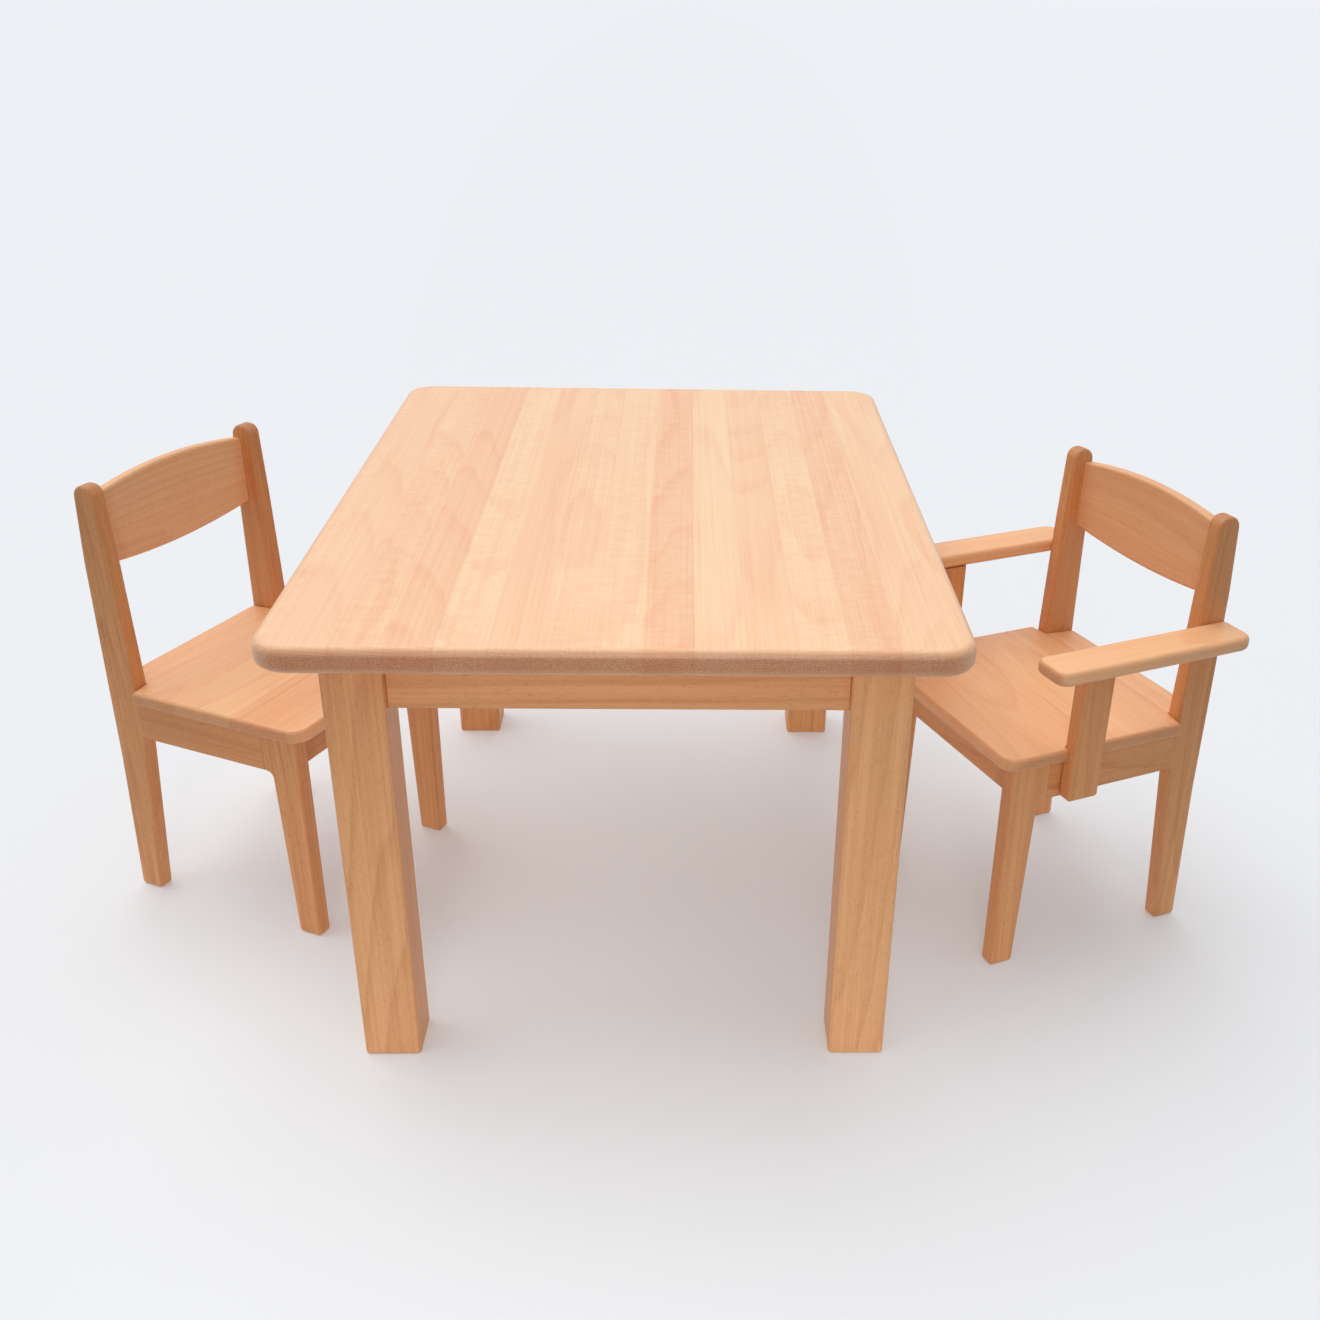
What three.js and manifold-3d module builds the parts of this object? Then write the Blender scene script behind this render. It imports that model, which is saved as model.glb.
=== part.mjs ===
// Children's table with a plain chair and an armchair, all in oiled beech.
// Millimetres, +Z up. The table runs front to back along Y, the plain chair stands on its -X side and
// the armchair on its +X side, and both face the table at a slant. Origin: floor, middle of the set's box.

import * as THREE from 'three';
import { mergeVertices } from 'three/addons/utils/BufferGeometryUtils.js';
import Module from 'manifold-3d';

const wasm = await Module();
wasm.setup();

// ---------- driving dimensions ----------

const GAP = 0.3; // clearance left between two pieces that touch
const LAP = 1; // how far the solids that make up one piece run into each other
const ROUND = 10; // sides of a small round bar or hole

const TABLE = {
  width: 600,
  depth: 800,
  height: 460,
  topThickness: 25,
  cornerRadius: 32,
  edgeRound: 8,
  leg: 54, // square section
  legEase: 3,
  legInset: [46, 43], // leg's outer faces in from the edge of the top, along X and Y
  apronHeight: 58,
  apronThickness: 20,
  apronRecess: 12, // apron's outer face in from the leg's
  blockThickness: 20,
  blockHeight: 40,
  blockDrop: 9, // corner block's top below the underside of the table top
};

const CHAIR = {
  width: 252, // over the side frames
  seatHeight: 260,
  seatThickness: 15,
  seatOverhang: 8, // beyond the side frames
  seatFront: 140,
  seatBack: -116,
  frame: 18, // thickness of every side-frame and rail board
  height: 482,
  railBottom: 200,
  footFront: [97, 125], // front leg where it meets the floor
  footBack: [-125, -97], // back leg where it meets the floor
  legTop: [82, 127], // front leg under the seat
  stileFront: -78, // stile's front edge from the rail up to the seat
  edge: 3, // eased edges
  footCorner: 4,
  fillet: { reach: 8, drop: 2, radius: 6 }, // where the front leg runs into the side rail
  seatEdge: 4,
  seatCorner: 20,
  seatRearCorner: 5,
  seatFit: 0.5, // the seat's clearance round the stiles
};

// the stile above the seat, as [x, z, radius]: up its front, over its rounded top and down its back
const STILE = [[-82, 400], [-86, 481, 10], [-110, 482, 12], [-115, 400], [-117, 260], [-118, 170]];


const SLAT = { thickness: 12, front: -99, bottom: 392, top: 467, bulge: 9, bow: 4, spans: 12 };

const ARM = {
  top: 370,
  thickness: 15,
  width: 46,
  front: 120,
  back: -114,
  postFront: 68,
  postBack: 31,
  postBottom: 203,
  postCorner: 5,
  edge: 5,
  innerCorners: [6, 10], // at the back and at the front
  outerCorners: [15, 12],
};

const TENON = { thickness: 8, length: 10, shoulder: 8 };
const BOLT = { shank: 3, head: 6.5, headHeight: 5, washer: 9, washerHeight: 1.5 };
const SCREW = { shank: 2, head: 4, headRim: 0.6, headHeight: 2.5, point: 4, clear: 5 };

// where each chair stands, and how far its front is turned from +X
const PLAIN_CHAIR_PLACE = { x: -402, y: -2, turn: -24.5 };
const ARMCHAIR_PLACE = { x: 453, y: -55, turn: -157 };

// ---------- materials ----------

const finish = (color, roughness, metalness = 0) =>
  new THREE.MeshStandardMaterial({ color, roughness, metalness });

const beechPanel = () => finish(0xf0c197, 0.45);
const beechFrame = () => finish(0xc68e5e, 0.48);
const beechDowel = () => finish(0xd9a877, 0.6);
const zincSteel = () => finish(0xb9bcc0, 0.35, 0.9);

// ---------- solids ----------

function bare(geometry) {
  const plain = geometry.index ? geometry.toNonIndexed() : geometry.clone();
  for (const name of ['normal', 'uv']) plain.deleteAttribute(name);
  return mergeVertices(plain, 1e-3);
}

function toSolid(geometry) {
  const merged = bare(geometry);
  return new wasm.Manifold(new wasm.Mesh({
    numProp: 3,
    vertProperties: new Float32Array(merged.attributes.position.array),
    triVerts: new Uint32Array(merged.index.array),
  }));
}

function toGeometry(solid) {
  const mesh = solid.getMesh();
  const geometry = new THREE.BufferGeometry();
  geometry.setAttribute('position', new THREE.BufferAttribute(mesh.vertProperties, 3));
  geometry.setIndex(new THREE.BufferAttribute(mesh.triVerts, 1));
  return geometry;
}

function cut(geometry, ...tools) {
  return toGeometry(tools.reduce((solid, tool) => solid.subtract(toSolid(tool)), toSolid(geometry)));
}

function join(geometry, ...others) {
  return toGeometry(others.reduce((solid, other) => solid.add(toSolid(other)), toSolid(geometry)));
}

// a box from its lowest corner to its highest corner
function block(low, high) {
  const size = high.map((value, axis) => value - low[axis]);
  const middle = high.map((value, axis) => (value + low[axis]) / 2);
  return new THREE.BoxGeometry(...size).translate(...middle);
}

// a round bar that starts at a point and runs a length along a direction
function bar(radius, length, start, direction, sides = ROUND) {
  const along = new THREE.Vector3(...direction).normalize();
  const turn = new THREE.Quaternion().setFromUnitVectors(new THREE.Vector3(0, 1, 0), along);
  return new THREE.CylinderGeometry(radius, radius, length, sides)
    .translate(0, length / 2, 0).applyQuaternion(turn).translate(...start);
}

// an outline raised into a board whose faces are eased by a quarter round
function board(outline, thickness, edge, { edgeSteps = 1, curveSteps = 2 } = {}) {
  return new THREE.ExtrudeGeometry(outline, {
    depth: thickness - 2 * edge,
    bevelEnabled: edge > 0,
    bevelThickness: edge,
    bevelSize: edge,
    bevelOffset: -edge,
    bevelSegments: edgeSteps,
    curveSegments: curveSteps,
  }).translate(0, 0, edge);
}

// an outline drawn in the X-Z plane, raised into a board that runs from y to y + thickness
function uprightBoard(outline, thickness, edge, y) {
  return board(outline, thickness, edge).rotateX(Math.PI / 2).translate(0, y + thickness, 0);
}

// a closed outline, drawn anticlockwise through corners given as [x, y, radius]; the first is rounded
function roundedOutline(corners) {
  const shape = new THREE.Shape();
  corners.forEach(([x, y, radius = 0], index) => {
    const corner = new THREE.Vector2(x, y);
    if (radius === 0) {
      shape.lineTo(x, y);
      return;
    }
    const back = new THREE.Vector2(...corners.at(index - 1)).sub(corner).normalize();
    const ahead = new THREE.Vector2(...corners[(index + 1) % corners.length]).sub(corner).normalize();
    const halfAngle = Math.acos(back.dot(ahead)) / 2;
    const centre = back.clone().add(ahead).setLength(radius / Math.sin(halfAngle)).add(corner);
    const reach = radius / Math.tan(halfAngle);
    const [start, end] = [back, ahead].map((side) => {
      const touch = side.clone().multiplyScalar(reach).add(corner);
      return touch.sub(centre).angle();
    });
    shape.absarc(centre.x, centre.y, radius, start, end, back.cross(ahead) > 0);
  });
  shape.closePath();
  return shape;
}

function rectangle(low, high, radius) {
  return roundedOutline([
    [low[0], low[1], radius], [high[0], low[1], radius],
    [high[0], high[1], radius], [low[0], high[1], radius],
  ]);
}

function piece(name, geometry, material) {
  const part = new THREE.Mesh(geometry, material);
  part.name = name;
  return part;
}

// a countersunk screw whose head is at its start
function screw(length, start, direction) {
  const along = new THREE.Vector3(...direction).normalize();
  const turn = new THREE.Quaternion().setFromUnitVectors(new THREE.Vector3(0, 1, 0), along);
  const profile = [
    [0, 0], [SCREW.head, 0], [SCREW.head, SCREW.headRim], [SCREW.shank, SCREW.headHeight],
    [SCREW.shank, length - SCREW.point], [0, length],
  ].map(([radius, height]) => new THREE.Vector2(radius, height));
  return new THREE.LatheGeometry(profile, ROUND).applyQuaternion(turn).translate(...start);
}

// the room that screw needs, open behind its head
function screwHole(length, start, direction) {
  const along = new THREE.Vector3(...direction).normalize();
  const back = along.clone().multiplyScalar(-SCREW.clear).add(new THREE.Vector3(...start));
  return join(
    bar(SCREW.shank + GAP, length + GAP, start, direction),
    bar(SCREW.head + GAP, SCREW.clear + SCREW.headHeight, back.toArray(), direction),
  );
}

// ---------- table ----------

const UNDERSIDE = TABLE.height - TABLE.topThickness;
const APRON_BOTTOM = UNDERSIDE - TABLE.apronHeight;
const LEG_OUTER = [TABLE.width / 2 - TABLE.legInset[0], TABLE.depth / 2 - TABLE.legInset[1]];
const LEG_INNER = LEG_OUTER.map((value) => value - TABLE.leg);
const APRON_OUTER = LEG_OUTER.map((value) => value - TABLE.apronRecess);
const APRON_INNER = APRON_OUTER.map((value) => value - TABLE.apronThickness);
const CORNERS = { front_left: [-1, -1], front_right: [1, -1], back_left: [-1, 1], back_right: [1, 1] };

const BUTTON = { width: 30, reach: 28, height: 18, tongue: 8 };
const BLOCK_START = 4; // how far the corner block's face stands off the leg's inner corner
const BOLT_DEPTH = 26; // bolt's hold in the leg
const BLOCK_BOTTOM = UNDERSIDE - TABLE.blockDrop - TABLE.blockHeight;
const BOLT_HEIGHT = BLOCK_BOTTOM + TABLE.blockHeight / 2;

// the bolt starts behind the corner block and runs outwards into the leg's inner corner
function boltLine([sx, sy]) {
  const direction = [sx * Math.SQRT1_2, sy * Math.SQRT1_2, 0];
  const back = (BLOCK_START + TABLE.blockThickness + GAP) * Math.SQRT1_2;
  return {
    direction,
    start: [sx * (LEG_INNER[0] - back), sy * (LEG_INNER[1] - back), BOLT_HEIGHT],
    length: BLOCK_START + TABLE.blockThickness + GAP + BOLT_DEPTH,
  };
}

function tableTop() {
  const half = [TABLE.width / 2, TABLE.depth / 2];
  const outline = rectangle([-half[0], -half[1]], half, TABLE.cornerRadius);
  return board(outline, TABLE.topThickness, TABLE.edgeRound, { edgeSteps: 3, curveSteps: 4 })
    .translate(0, 0, UNDERSIDE);
}

function tableLeg([sx, sy]) {
  const x = [sx * LEG_INNER[0], sx * LEG_OUTER[0]].sort((a, b) => a - b);
  const y = [sy * LEG_INNER[1], sy * LEG_OUTER[1]].sort((a, b) => a - b);
  const outline = rectangle([x[0], y[0]], [x[1], y[1]], TABLE.legEase);
  const leg = board(outline, UNDERSIDE - GAP, TABLE.legEase / 2, { curveSteps: 1 });
  const line = boltLine([sx, sy]);
  return cut(leg, bar(BOLT.shank + GAP, line.length + GAP, line.start, line.direction));
}

// a straight board between two legs, along X (axis 0) or along Y (axis 1)
function apron(axis, side) {
  const across = 1 - axis;
  const low = [0, 0, APRON_BOTTOM];
  const high = [0, 0, UNDERSIDE - GAP];
  low[axis] = -LEG_INNER[axis] + GAP;
  high[axis] = LEG_INNER[axis] - GAP;
  const faces = [side * APRON_INNER[across], side * APRON_OUTER[across]].sort((a, b) => a - b);
  [low[across], high[across]] = faces;
  const slotLow = [0, 0, UNDERSIDE - BUTTON.height - GAP];
  const slotHigh = [0, 0, UNDERSIDE - BUTTON.height + BUTTON.tongue + GAP];
  slotLow[axis] = -BUTTON.width / 2 - GAP;
  slotHigh[axis] = BUTTON.width / 2 + GAP;
  const slot = [APRON_INNER[across] - LAP, APRON_INNER[across] + BUTTON.tongue + GAP];
  [slotLow[across], slotHigh[across]] = slot.map((value) => side * value).sort((a, b) => a - b);
  return cut(block(low, high), block(slotLow, slotHigh));
}

// the wooden button whose tongue hooks into the apron's slot; one screw holds it to the top
function buttonPlace(axis, side) {
  const across = 1 - axis;
  const spot = [0, 0, UNDERSIDE - BUTTON.height];
  spot[across] = side * (APRON_INNER[across] - BUTTON.reach / 2);
  return spot;
}

const BUTTON_SCREW = 30;

function topButton(axis, side) {
  const across = 1 - axis;
  const make = (from, to, bottom, top) => {
    const low = [0, 0, bottom];
    const high = [0, 0, top];
    low[axis] = -BUTTON.width / 2;
    high[axis] = BUTTON.width / 2;
    [low[across], high[across]] = [side * from, side * to].sort((a, b) => a - b);
    return block(low, high);
  };
  const bottom = UNDERSIDE - BUTTON.height;
  const inner = APRON_INNER[across];
  const body = make(inner - BUTTON.reach, inner - GAP, bottom, UNDERSIDE - GAP);
  const tongue = make(inner - BUTTON.reach / 2, inner + BUTTON.tongue, bottom, bottom + BUTTON.tongue);
  const hole = screwHole(BUTTON_SCREW, buttonPlace(axis, side), [0, 0, 1]);
  return cut(join(body, tongue), hole);
}

// a board across the corner, glued between two aprons, that the leg is bolted to
function cornerBlock([sx, sy]) {
  const near = BLOCK_START * Math.SQRT2;
  const far = (BLOCK_START + TABLE.blockThickness) * Math.SQRT2;
  const lip = [LEG_INNER[0] - APRON_INNER[0] + GAP, LEG_INNER[1] - APRON_INNER[1] + GAP];
  const local = [
    [near - lip[1], lip[1]], [far - lip[1], lip[1]], [lip[0], far - lip[0]], [lip[0], near - lip[0]],
  ];
  const outline = new THREE.Shape(local.map(([inX, inY]) => new THREE.Vector2(
    sx * (LEG_INNER[0] - inX),
    sy * (LEG_INNER[1] - inY),
  )));
  const line = boltLine([sx, sy]);
  return cut(
    board(outline, TABLE.blockHeight, 0).translate(0, 0, BLOCK_BOTTOM),
    bar(BOLT.shank + GAP, line.length, line.start.map((v, i) => v - line.direction[i]), line.direction),
  );
}

function legBolt(corner) {
  const { start, direction, length } = boltLine(corner);
  const step = (distance) => start.map((value, axis) => value - direction[axis] * distance);
  const headTop = BOLT.washerHeight + BOLT.headHeight;
  return join(
    bar(BOLT.shank, length + LAP, step(LAP), direction),
    bar(BOLT.washer, BOLT.washerHeight, step(BOLT.washerHeight), direction, 16),
    bar(BOLT.head, BOLT.headHeight + LAP / 2, step(headTop), direction, 6),
  );
}

function buildTable() {
  const table = new THREE.Group();
  const sides = { front: [0, -1], back: [0, 1], left: [1, -1], right: [1, 1] };
  const screws = Object.entries(sides).map(([name, [axis, side]]) => {
    const start = buttonPlace(axis, side);
    table.add(piece(`apron_${name}`, apron(axis, side), beechFrame()));
    table.add(piece(`top_button_${name}`, topButton(axis, side), beechFrame()));
    table.add(piece(`top_screw_${name}`, screw(BUTTON_SCREW, start, [0, 0, 1]), zincSteel()));
    return bar(SCREW.shank + GAP, BUTTON_SCREW + GAP, start, [0, 0, 1]);
  });
  table.add(piece('table_top', cut(tableTop(), ...screws), beechPanel()));
  for (const [name, corner] of Object.entries(CORNERS)) {
    table.add(piece(`table_leg_${name}`, tableLeg(corner), beechFrame()));
    table.add(piece(`corner_block_${name}`, cornerBlock(corner), beechFrame()));
    table.add(piece(`leg_bolt_${name}`, legBolt(corner), zincSteel()));
  }
  return table;
}

// ---------- chairs: +X is the way the chair faces, +Y its left ----------

const SEAT_UNDER = CHAIR.seatHeight - CHAIR.seatThickness;
const HALF = CHAIR.width / 2;
const INNER = HALF - CHAIR.frame;
const RAIL_TOP = SEAT_UNDER - GAP;
const FRONT_RAIL = [94, 112];
const BACK_RAIL = [-112, -94];
const ARM_UNDER = ARM.top - ARM.thickness;

// y where a side-frame board starts, for side -1 (right) or 1 (left)
const frameStart = (side) => (side > 0 ? INNER : -HALF);

// the tenon of a cross rail, and the mortise that it goes into when grown by the clearance
function crossTenon(rail, side, grow = 0) {
  const middle = (rail[0] + rail[1]) / 2;
  const y = [side * (INNER - LAP), side * (INNER + TENON.length + grow)].sort((a, b) => a - b);
  const half = TENON.thickness / 2 + grow;
  return block(
    [middle - half, y[0], CHAIR.railBottom + TENON.shoulder - grow],
    [middle + half, y[1], RAIL_TOP - TENON.shoulder + grow],
  );
}

function sideTenon(side, end, grow = 0) {
  const face = end > 0 ? CHAIR.legTop[0] : CHAIR.stileFront;
  const x = [face - end * LAP, face + end * (TENON.length + grow)].sort((a, b) => a - b);
  const middle = side * (HALF - CHAIR.frame / 2);
  const half = TENON.thickness / 2 + grow;
  return block(
    [x[0], middle - half, CHAIR.railBottom + TENON.shoulder - grow],
    [x[1], middle + half, RAIL_TOP - TENON.shoulder + grow],
  );
}

function slatTenon(side, grow = 0) {
  const y = [side * (INNER - 2 * LAP), side * (INNER + TENON.length + grow)].sort((a, b) => a - b);
  const middle = SLAT.front - SLAT.thickness / 2;
  return block(
    [middle - TENON.thickness / 2 - grow, y[0], SLAT.bottom + TENON.shoulder - grow],
    [middle + TENON.thickness / 2 + grow, y[1], SLAT.top - TENON.shoulder + grow],
  );
}

function frontLeg(side) {
  const [heel, toe] = CHAIR.footFront;
  const [back, front] = CHAIR.legTop;
  const { reach, drop, radius } = CHAIR.fillet;
  const outline = roundedOutline([
    [heel, 0, CHAIR.footCorner], [toe, 0, CHAIR.footCorner], [front, RAIL_TOP], [back, RAIL_TOP],
    [back, CHAIR.railBottom], [back + reach, CHAIR.railBottom - drop, radius],
  ]);
  const leg = uprightBoard(outline, CHAIR.frame, CHAIR.edge, frameStart(side));
  return cut(leg, crossTenon(FRONT_RAIL, side, GAP), sideTenon(side, 1, GAP));
}

// back leg and stile in one long board with a rounded top
function backLeg(side) {
  const [heel, toe] = CHAIR.footBack;
  const { reach, drop, radius } = CHAIR.fillet;
  const outline = roundedOutline([
    [heel, 0, CHAIR.footCorner], [toe, 0, CHAIR.footCorner],
    [CHAIR.stileFront - drop / 2, CHAIR.railBottom - drop, radius / 2],
    [CHAIR.stileFront, CHAIR.railBottom + reach - drop], [CHAIR.stileFront, CHAIR.seatHeight + drop * 2],
    ...STILE,
  ]);
  const leg = uprightBoard(outline, CHAIR.frame, CHAIR.edge, frameStart(side));
  return cut(
    leg,
    crossTenon(BACK_RAIL, side, GAP), sideTenon(side, -1, GAP), slatTenon(side, GAP),
  );
}

function sideRail(side) {
  const y = frameStart(side);
  const body = block(
    [CHAIR.stileFront + GAP, y, CHAIR.railBottom],
    [CHAIR.legTop[0] - GAP, y + CHAIR.frame, RAIL_TOP],
  );
  return join(body, sideTenon(side, 1), sideTenon(side, -1));
}

function crossRail(rail) {
  const body = block(
    [rail[0], -INNER + GAP, CHAIR.railBottom],
    [rail[1], INNER - GAP, RAIL_TOP],
  );
  return join(body, crossTenon(rail, 1), crossTenon(rail, -1));
}

// a board between the stiles, taller in the middle than at its ends and bowed back a little
function backSlat() {
  const length = 2 * (INNER - GAP);
  const height = SLAT.top - SLAT.bottom;
  const body = new THREE.BoxGeometry(SLAT.thickness, length, height, 1, SLAT.spans, 1);
  const position = body.attributes.position;
  for (let i = 0; i < position.count; i += 1) {
    const middle = 1 - (position.getY(i) / (length / 2)) ** 2;
    position.setX(i, position.getX(i) - SLAT.bow * middle);
    position.setZ(i, position.getZ(i) + Math.sign(position.getZ(i)) * SLAT.bulge * middle);
  }
  body.translate(SLAT.front - SLAT.thickness / 2, 0, (SLAT.bottom + SLAT.top) / 2);
  return join(body, slatTenon(1), slatTenon(-1));
}

// the seat wraps the stiles, and on the armchair it is notched for the arm posts too
function seat(notched) {
  const edge = HALF + CHAIR.seatOverhang;
  const { seatFront: front, seatBack: back, seatCorner: corner, seatRearCorner: rear } = CHAIR;
  const stile = CHAIR.stileFront + CHAIR.seatFit;
  const within = INNER - CHAIR.seatFit;
  const outline = roundedOutline([
    [stile, -edge, rear], [front, -edge, corner], [front, edge, corner], [stile, edge, rear],
    [stile, within], [back, within, rear], [back, -within, rear], [stile, -within],
  ]);
  const panel = board(outline, CHAIR.seatThickness, CHAIR.seatEdge, { edgeSteps: 2 })
    .translate(0, 0, SEAT_UNDER);
  if (!notched) return panel;
  const notches = [-1, 1].map((side) => {
    const y = [side * (HALF + GAP / 2), side * (edge + LAP)].sort((a, b) => a - b);
    return block(
      [ARM.postBack - GAP, y[0], SEAT_UNDER - LAP],
      [ARM.postFront + GAP, y[1], CHAIR.seatHeight + LAP],
    );
  });
  return cut(panel, ...notches);
}

// ---------- arms ----------

const POST = { start: HALF + GAP, thickness: 18 };
const ARM_SCREW = 42;
const POST_BOLT = 30;
const DOWEL = { radius: 4, length: 24, inArmrest: 9 };
const STILE_MIDDLE = -99;
const POST_MIDDLE = (ARM.postBack + ARM.postFront) / 2;
const POST_BOLT_HEIGHTS = { lower: 213, upper: 233 };

const armScrewStart = (side) => [STILE_MIDDLE, side * (INNER + GAP), ARM.top - ARM.thickness / 2];
const postBoltStart = (side, height) => [POST_MIDDLE, side * (INNER + GAP), height];
const outwards = (side) => [0, side, 0];

function dowelHole(side) {
  const y = side * (POST.start + POST.thickness / 2);
  const bottom = ARM_UNDER - DOWEL.length + DOWEL.inArmrest;
  return { start: [POST_MIDDLE, y, bottom], hole: [POST_MIDDLE, y, bottom - GAP] };
}

function armrest(side) {
  const inner = side * (HALF + GAP);
  const outer = side * (HALF + ARM.width);
  const edges = [[inner, ARM.innerCorners], [outer, ARM.outerCorners]].sort(([a], [b]) => a - b);
  const [[right, rightCorners], [left, leftCorners]] = edges;
  const outline = roundedOutline([
    [ARM.back, right, rightCorners[0]], [ARM.front, right, rightCorners[1]],
    [ARM.front, left, leftCorners[1]], [ARM.back, left, leftCorners[0]],
  ]);
  return cut(
    board(outline, ARM.thickness, ARM.edge, { edgeSteps: 2 }).translate(0, 0, ARM_UNDER),
    screwHole(ARM_SCREW, armScrewStart(side), outwards(side)),
    bar(DOWEL.radius + GAP, DOWEL.length + 2 * GAP, dowelHole(side).hole, [0, 0, 1]),
  );
}

function armPost(side) {
  const low = [ARM.postBack, ARM.postBottom];
  const outline = rectangle(low, [ARM.postFront, ARM_UNDER - GAP], ARM.postCorner);
  const y = side > 0 ? POST.start : -POST.start - POST.thickness;
  const bolts = Object.values(POST_BOLT_HEIGHTS)
    .map((height) => screwHole(POST_BOLT, postBoltStart(side, height), outwards(side)));
  return cut(
    uprightBoard(outline, POST.thickness, CHAIR.edge, y),
    bar(DOWEL.radius + GAP, DOWEL.length + 2 * GAP, dowelHole(side).hole, [0, 0, 1]),
    ...bolts,
  );
}

function addArms(chair, sides) {
  for (const [name, side] of Object.entries(sides)) {
    chair.add(piece(`armchair_armrest_${name}`, armrest(side), beechPanel()));
    chair.add(piece(`armchair_arm_post_${name}`, armPost(side), beechFrame()));
    chair.add(piece(
      `armchair_arm_screw_${name}`,
      screw(ARM_SCREW, armScrewStart(side), outwards(side)),
      zincSteel(),
    ));
    chair.add(piece(
      `armchair_post_dowel_${name}`,
      bar(DOWEL.radius, DOWEL.length, dowelHole(side).start, [0, 0, 1]),
      beechDowel(),
    ));
    for (const [level, height] of Object.entries(POST_BOLT_HEIGHTS)) {
      const geometry = screw(POST_BOLT, postBoltStart(side, height), outwards(side));
      chair.add(piece(`armchair_post_screw_${name}_${level}`, geometry, zincSteel()));
    }
  }
}

function buildChair(prefix, arms) {
  const chair = new THREE.Group();
  const sides = { left: 1, right: -1 };
  const screwsIn = (side) => (arms ? [screwHole(ARM_SCREW, armScrewStart(side), outwards(side))] : []);
  const boltsIn = (side) => (arms
    ? Object.values(POST_BOLT_HEIGHTS)
      .map((height) => screwHole(POST_BOLT, postBoltStart(side, height), outwards(side)))
    : []);
  chair.add(piece(`${prefix}_seat`, seat(arms), beechPanel()));
  chair.add(piece(`${prefix}_back_slat`, backSlat(), beechPanel()));
  chair.add(piece(`${prefix}_front_rail`, crossRail(FRONT_RAIL), beechFrame()));
  chair.add(piece(`${prefix}_back_rail`, crossRail(BACK_RAIL), beechFrame()));
  for (const [name, side] of Object.entries(sides)) {
    const stile = cut(backLeg(side), ...screwsIn(side));
    const rail = cut(sideRail(side), ...boltsIn(side));
    chair.add(piece(`${prefix}_front_leg_${name}`, frontLeg(side), beechFrame()));
    chair.add(piece(`${prefix}_back_leg_${name}`, stile, beechFrame()));
    chair.add(piece(`${prefix}_side_rail_${name}`, rail, beechFrame()));
  }
  if (arms) addArms(chair, sides);
  return chair;
}

function place(chair, { x, y, turn }) {
  chair.position.set(x, y, 0);
  chair.rotation.z = THREE.MathUtils.degToRad(turn);
  return chair;
}

// ---------- the set ----------

const set = new THREE.Group();
set.add(buildTable());
set.add(place(buildChair('plain_chair', false), PLAIN_CHAIR_PLACE));
set.add(place(buildChair('armchair', true), ARMCHAIR_PLACE));
set.updateMatrixWorld(true);

const box = new THREE.Box3().setFromObject(set, true);
const middle = box.getCenter(new THREE.Vector3());
set.position.set(-middle.x, -middle.y, -box.min.z);

const kidsTableAndChairs = new THREE.Group();
kidsTableAndChairs.add(set);

export default kidsTableAndChairs;
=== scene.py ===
# %% [markdown]
# # A children's table with a plain chair and an armchair, in oiled beech
#
# The set is joiner's work: boards with softly rounded edges, glued and screwed together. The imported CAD
# model gives every place and size. It is loaded first, as a frame that is never changed, and each board
# below is a finer mesh that stands for one CAD board.

from math import atan2, cos, pi, radians, sin, tan

import bmesh
import bpy
from mathutils import Matrix, Vector


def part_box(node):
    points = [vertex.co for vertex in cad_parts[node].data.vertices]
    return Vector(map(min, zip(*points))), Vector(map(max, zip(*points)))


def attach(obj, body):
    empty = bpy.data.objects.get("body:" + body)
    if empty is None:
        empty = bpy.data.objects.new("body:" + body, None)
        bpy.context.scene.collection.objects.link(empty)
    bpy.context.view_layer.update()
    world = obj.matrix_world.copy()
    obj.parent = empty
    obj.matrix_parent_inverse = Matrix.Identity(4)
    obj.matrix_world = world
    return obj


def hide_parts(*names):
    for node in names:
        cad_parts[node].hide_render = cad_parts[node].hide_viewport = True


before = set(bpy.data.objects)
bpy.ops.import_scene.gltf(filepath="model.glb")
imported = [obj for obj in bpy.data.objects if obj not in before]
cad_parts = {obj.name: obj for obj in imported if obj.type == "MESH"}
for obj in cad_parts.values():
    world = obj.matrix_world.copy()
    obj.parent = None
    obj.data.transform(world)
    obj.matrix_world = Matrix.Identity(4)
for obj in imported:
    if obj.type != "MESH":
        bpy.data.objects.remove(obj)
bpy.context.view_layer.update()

# %% [markdown]
# ## Where the table and the chairs stand
#
# The table runs straight along the frame's axes. A chair stands turned, so it is built in its own
# coordinates, x the way it faces, y its left, z up, and then placed. Its two cross rails are plain blocks,
# so the middles of their boxes give the chair's middle and its direction without any measured number.


# %% Places
def box_middle(node):
    low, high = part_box(node)
    return (low + high) / 2


def chair_place(prefix):
    front, back = (box_middle(f"{prefix}_{end}_rail") for end in ("front", "back"))
    spot, facing = (front + back) / 2, front - back
    turn = atan2(facing.y, facing.x)
    print(prefix, "stands at", [round(v, 4) for v in spot.xy], "turned", round(turn * 180 / pi, 2))
    return Matrix.Translation((spot.x, spot.y, 0)) @ Matrix.Rotation(turn, 4, "Z")


table_low, table_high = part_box("table_top")
table_middle = (table_low + table_high) / 2
PLACE = {
    "table": Matrix.Translation((table_middle.x, table_middle.y, 0)),
    "plain_chair": chair_place("plain_chair"),
    "armchair": chair_place("armchair"),
}

# %% [markdown]
# ## Helpers
#
# Materials and geometry trees are both made of nodes and links. One helper adds a node, sets it up and
# plugs its inputs, and the others do arithmetic and noise, so that the steps below read as recipes.


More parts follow.
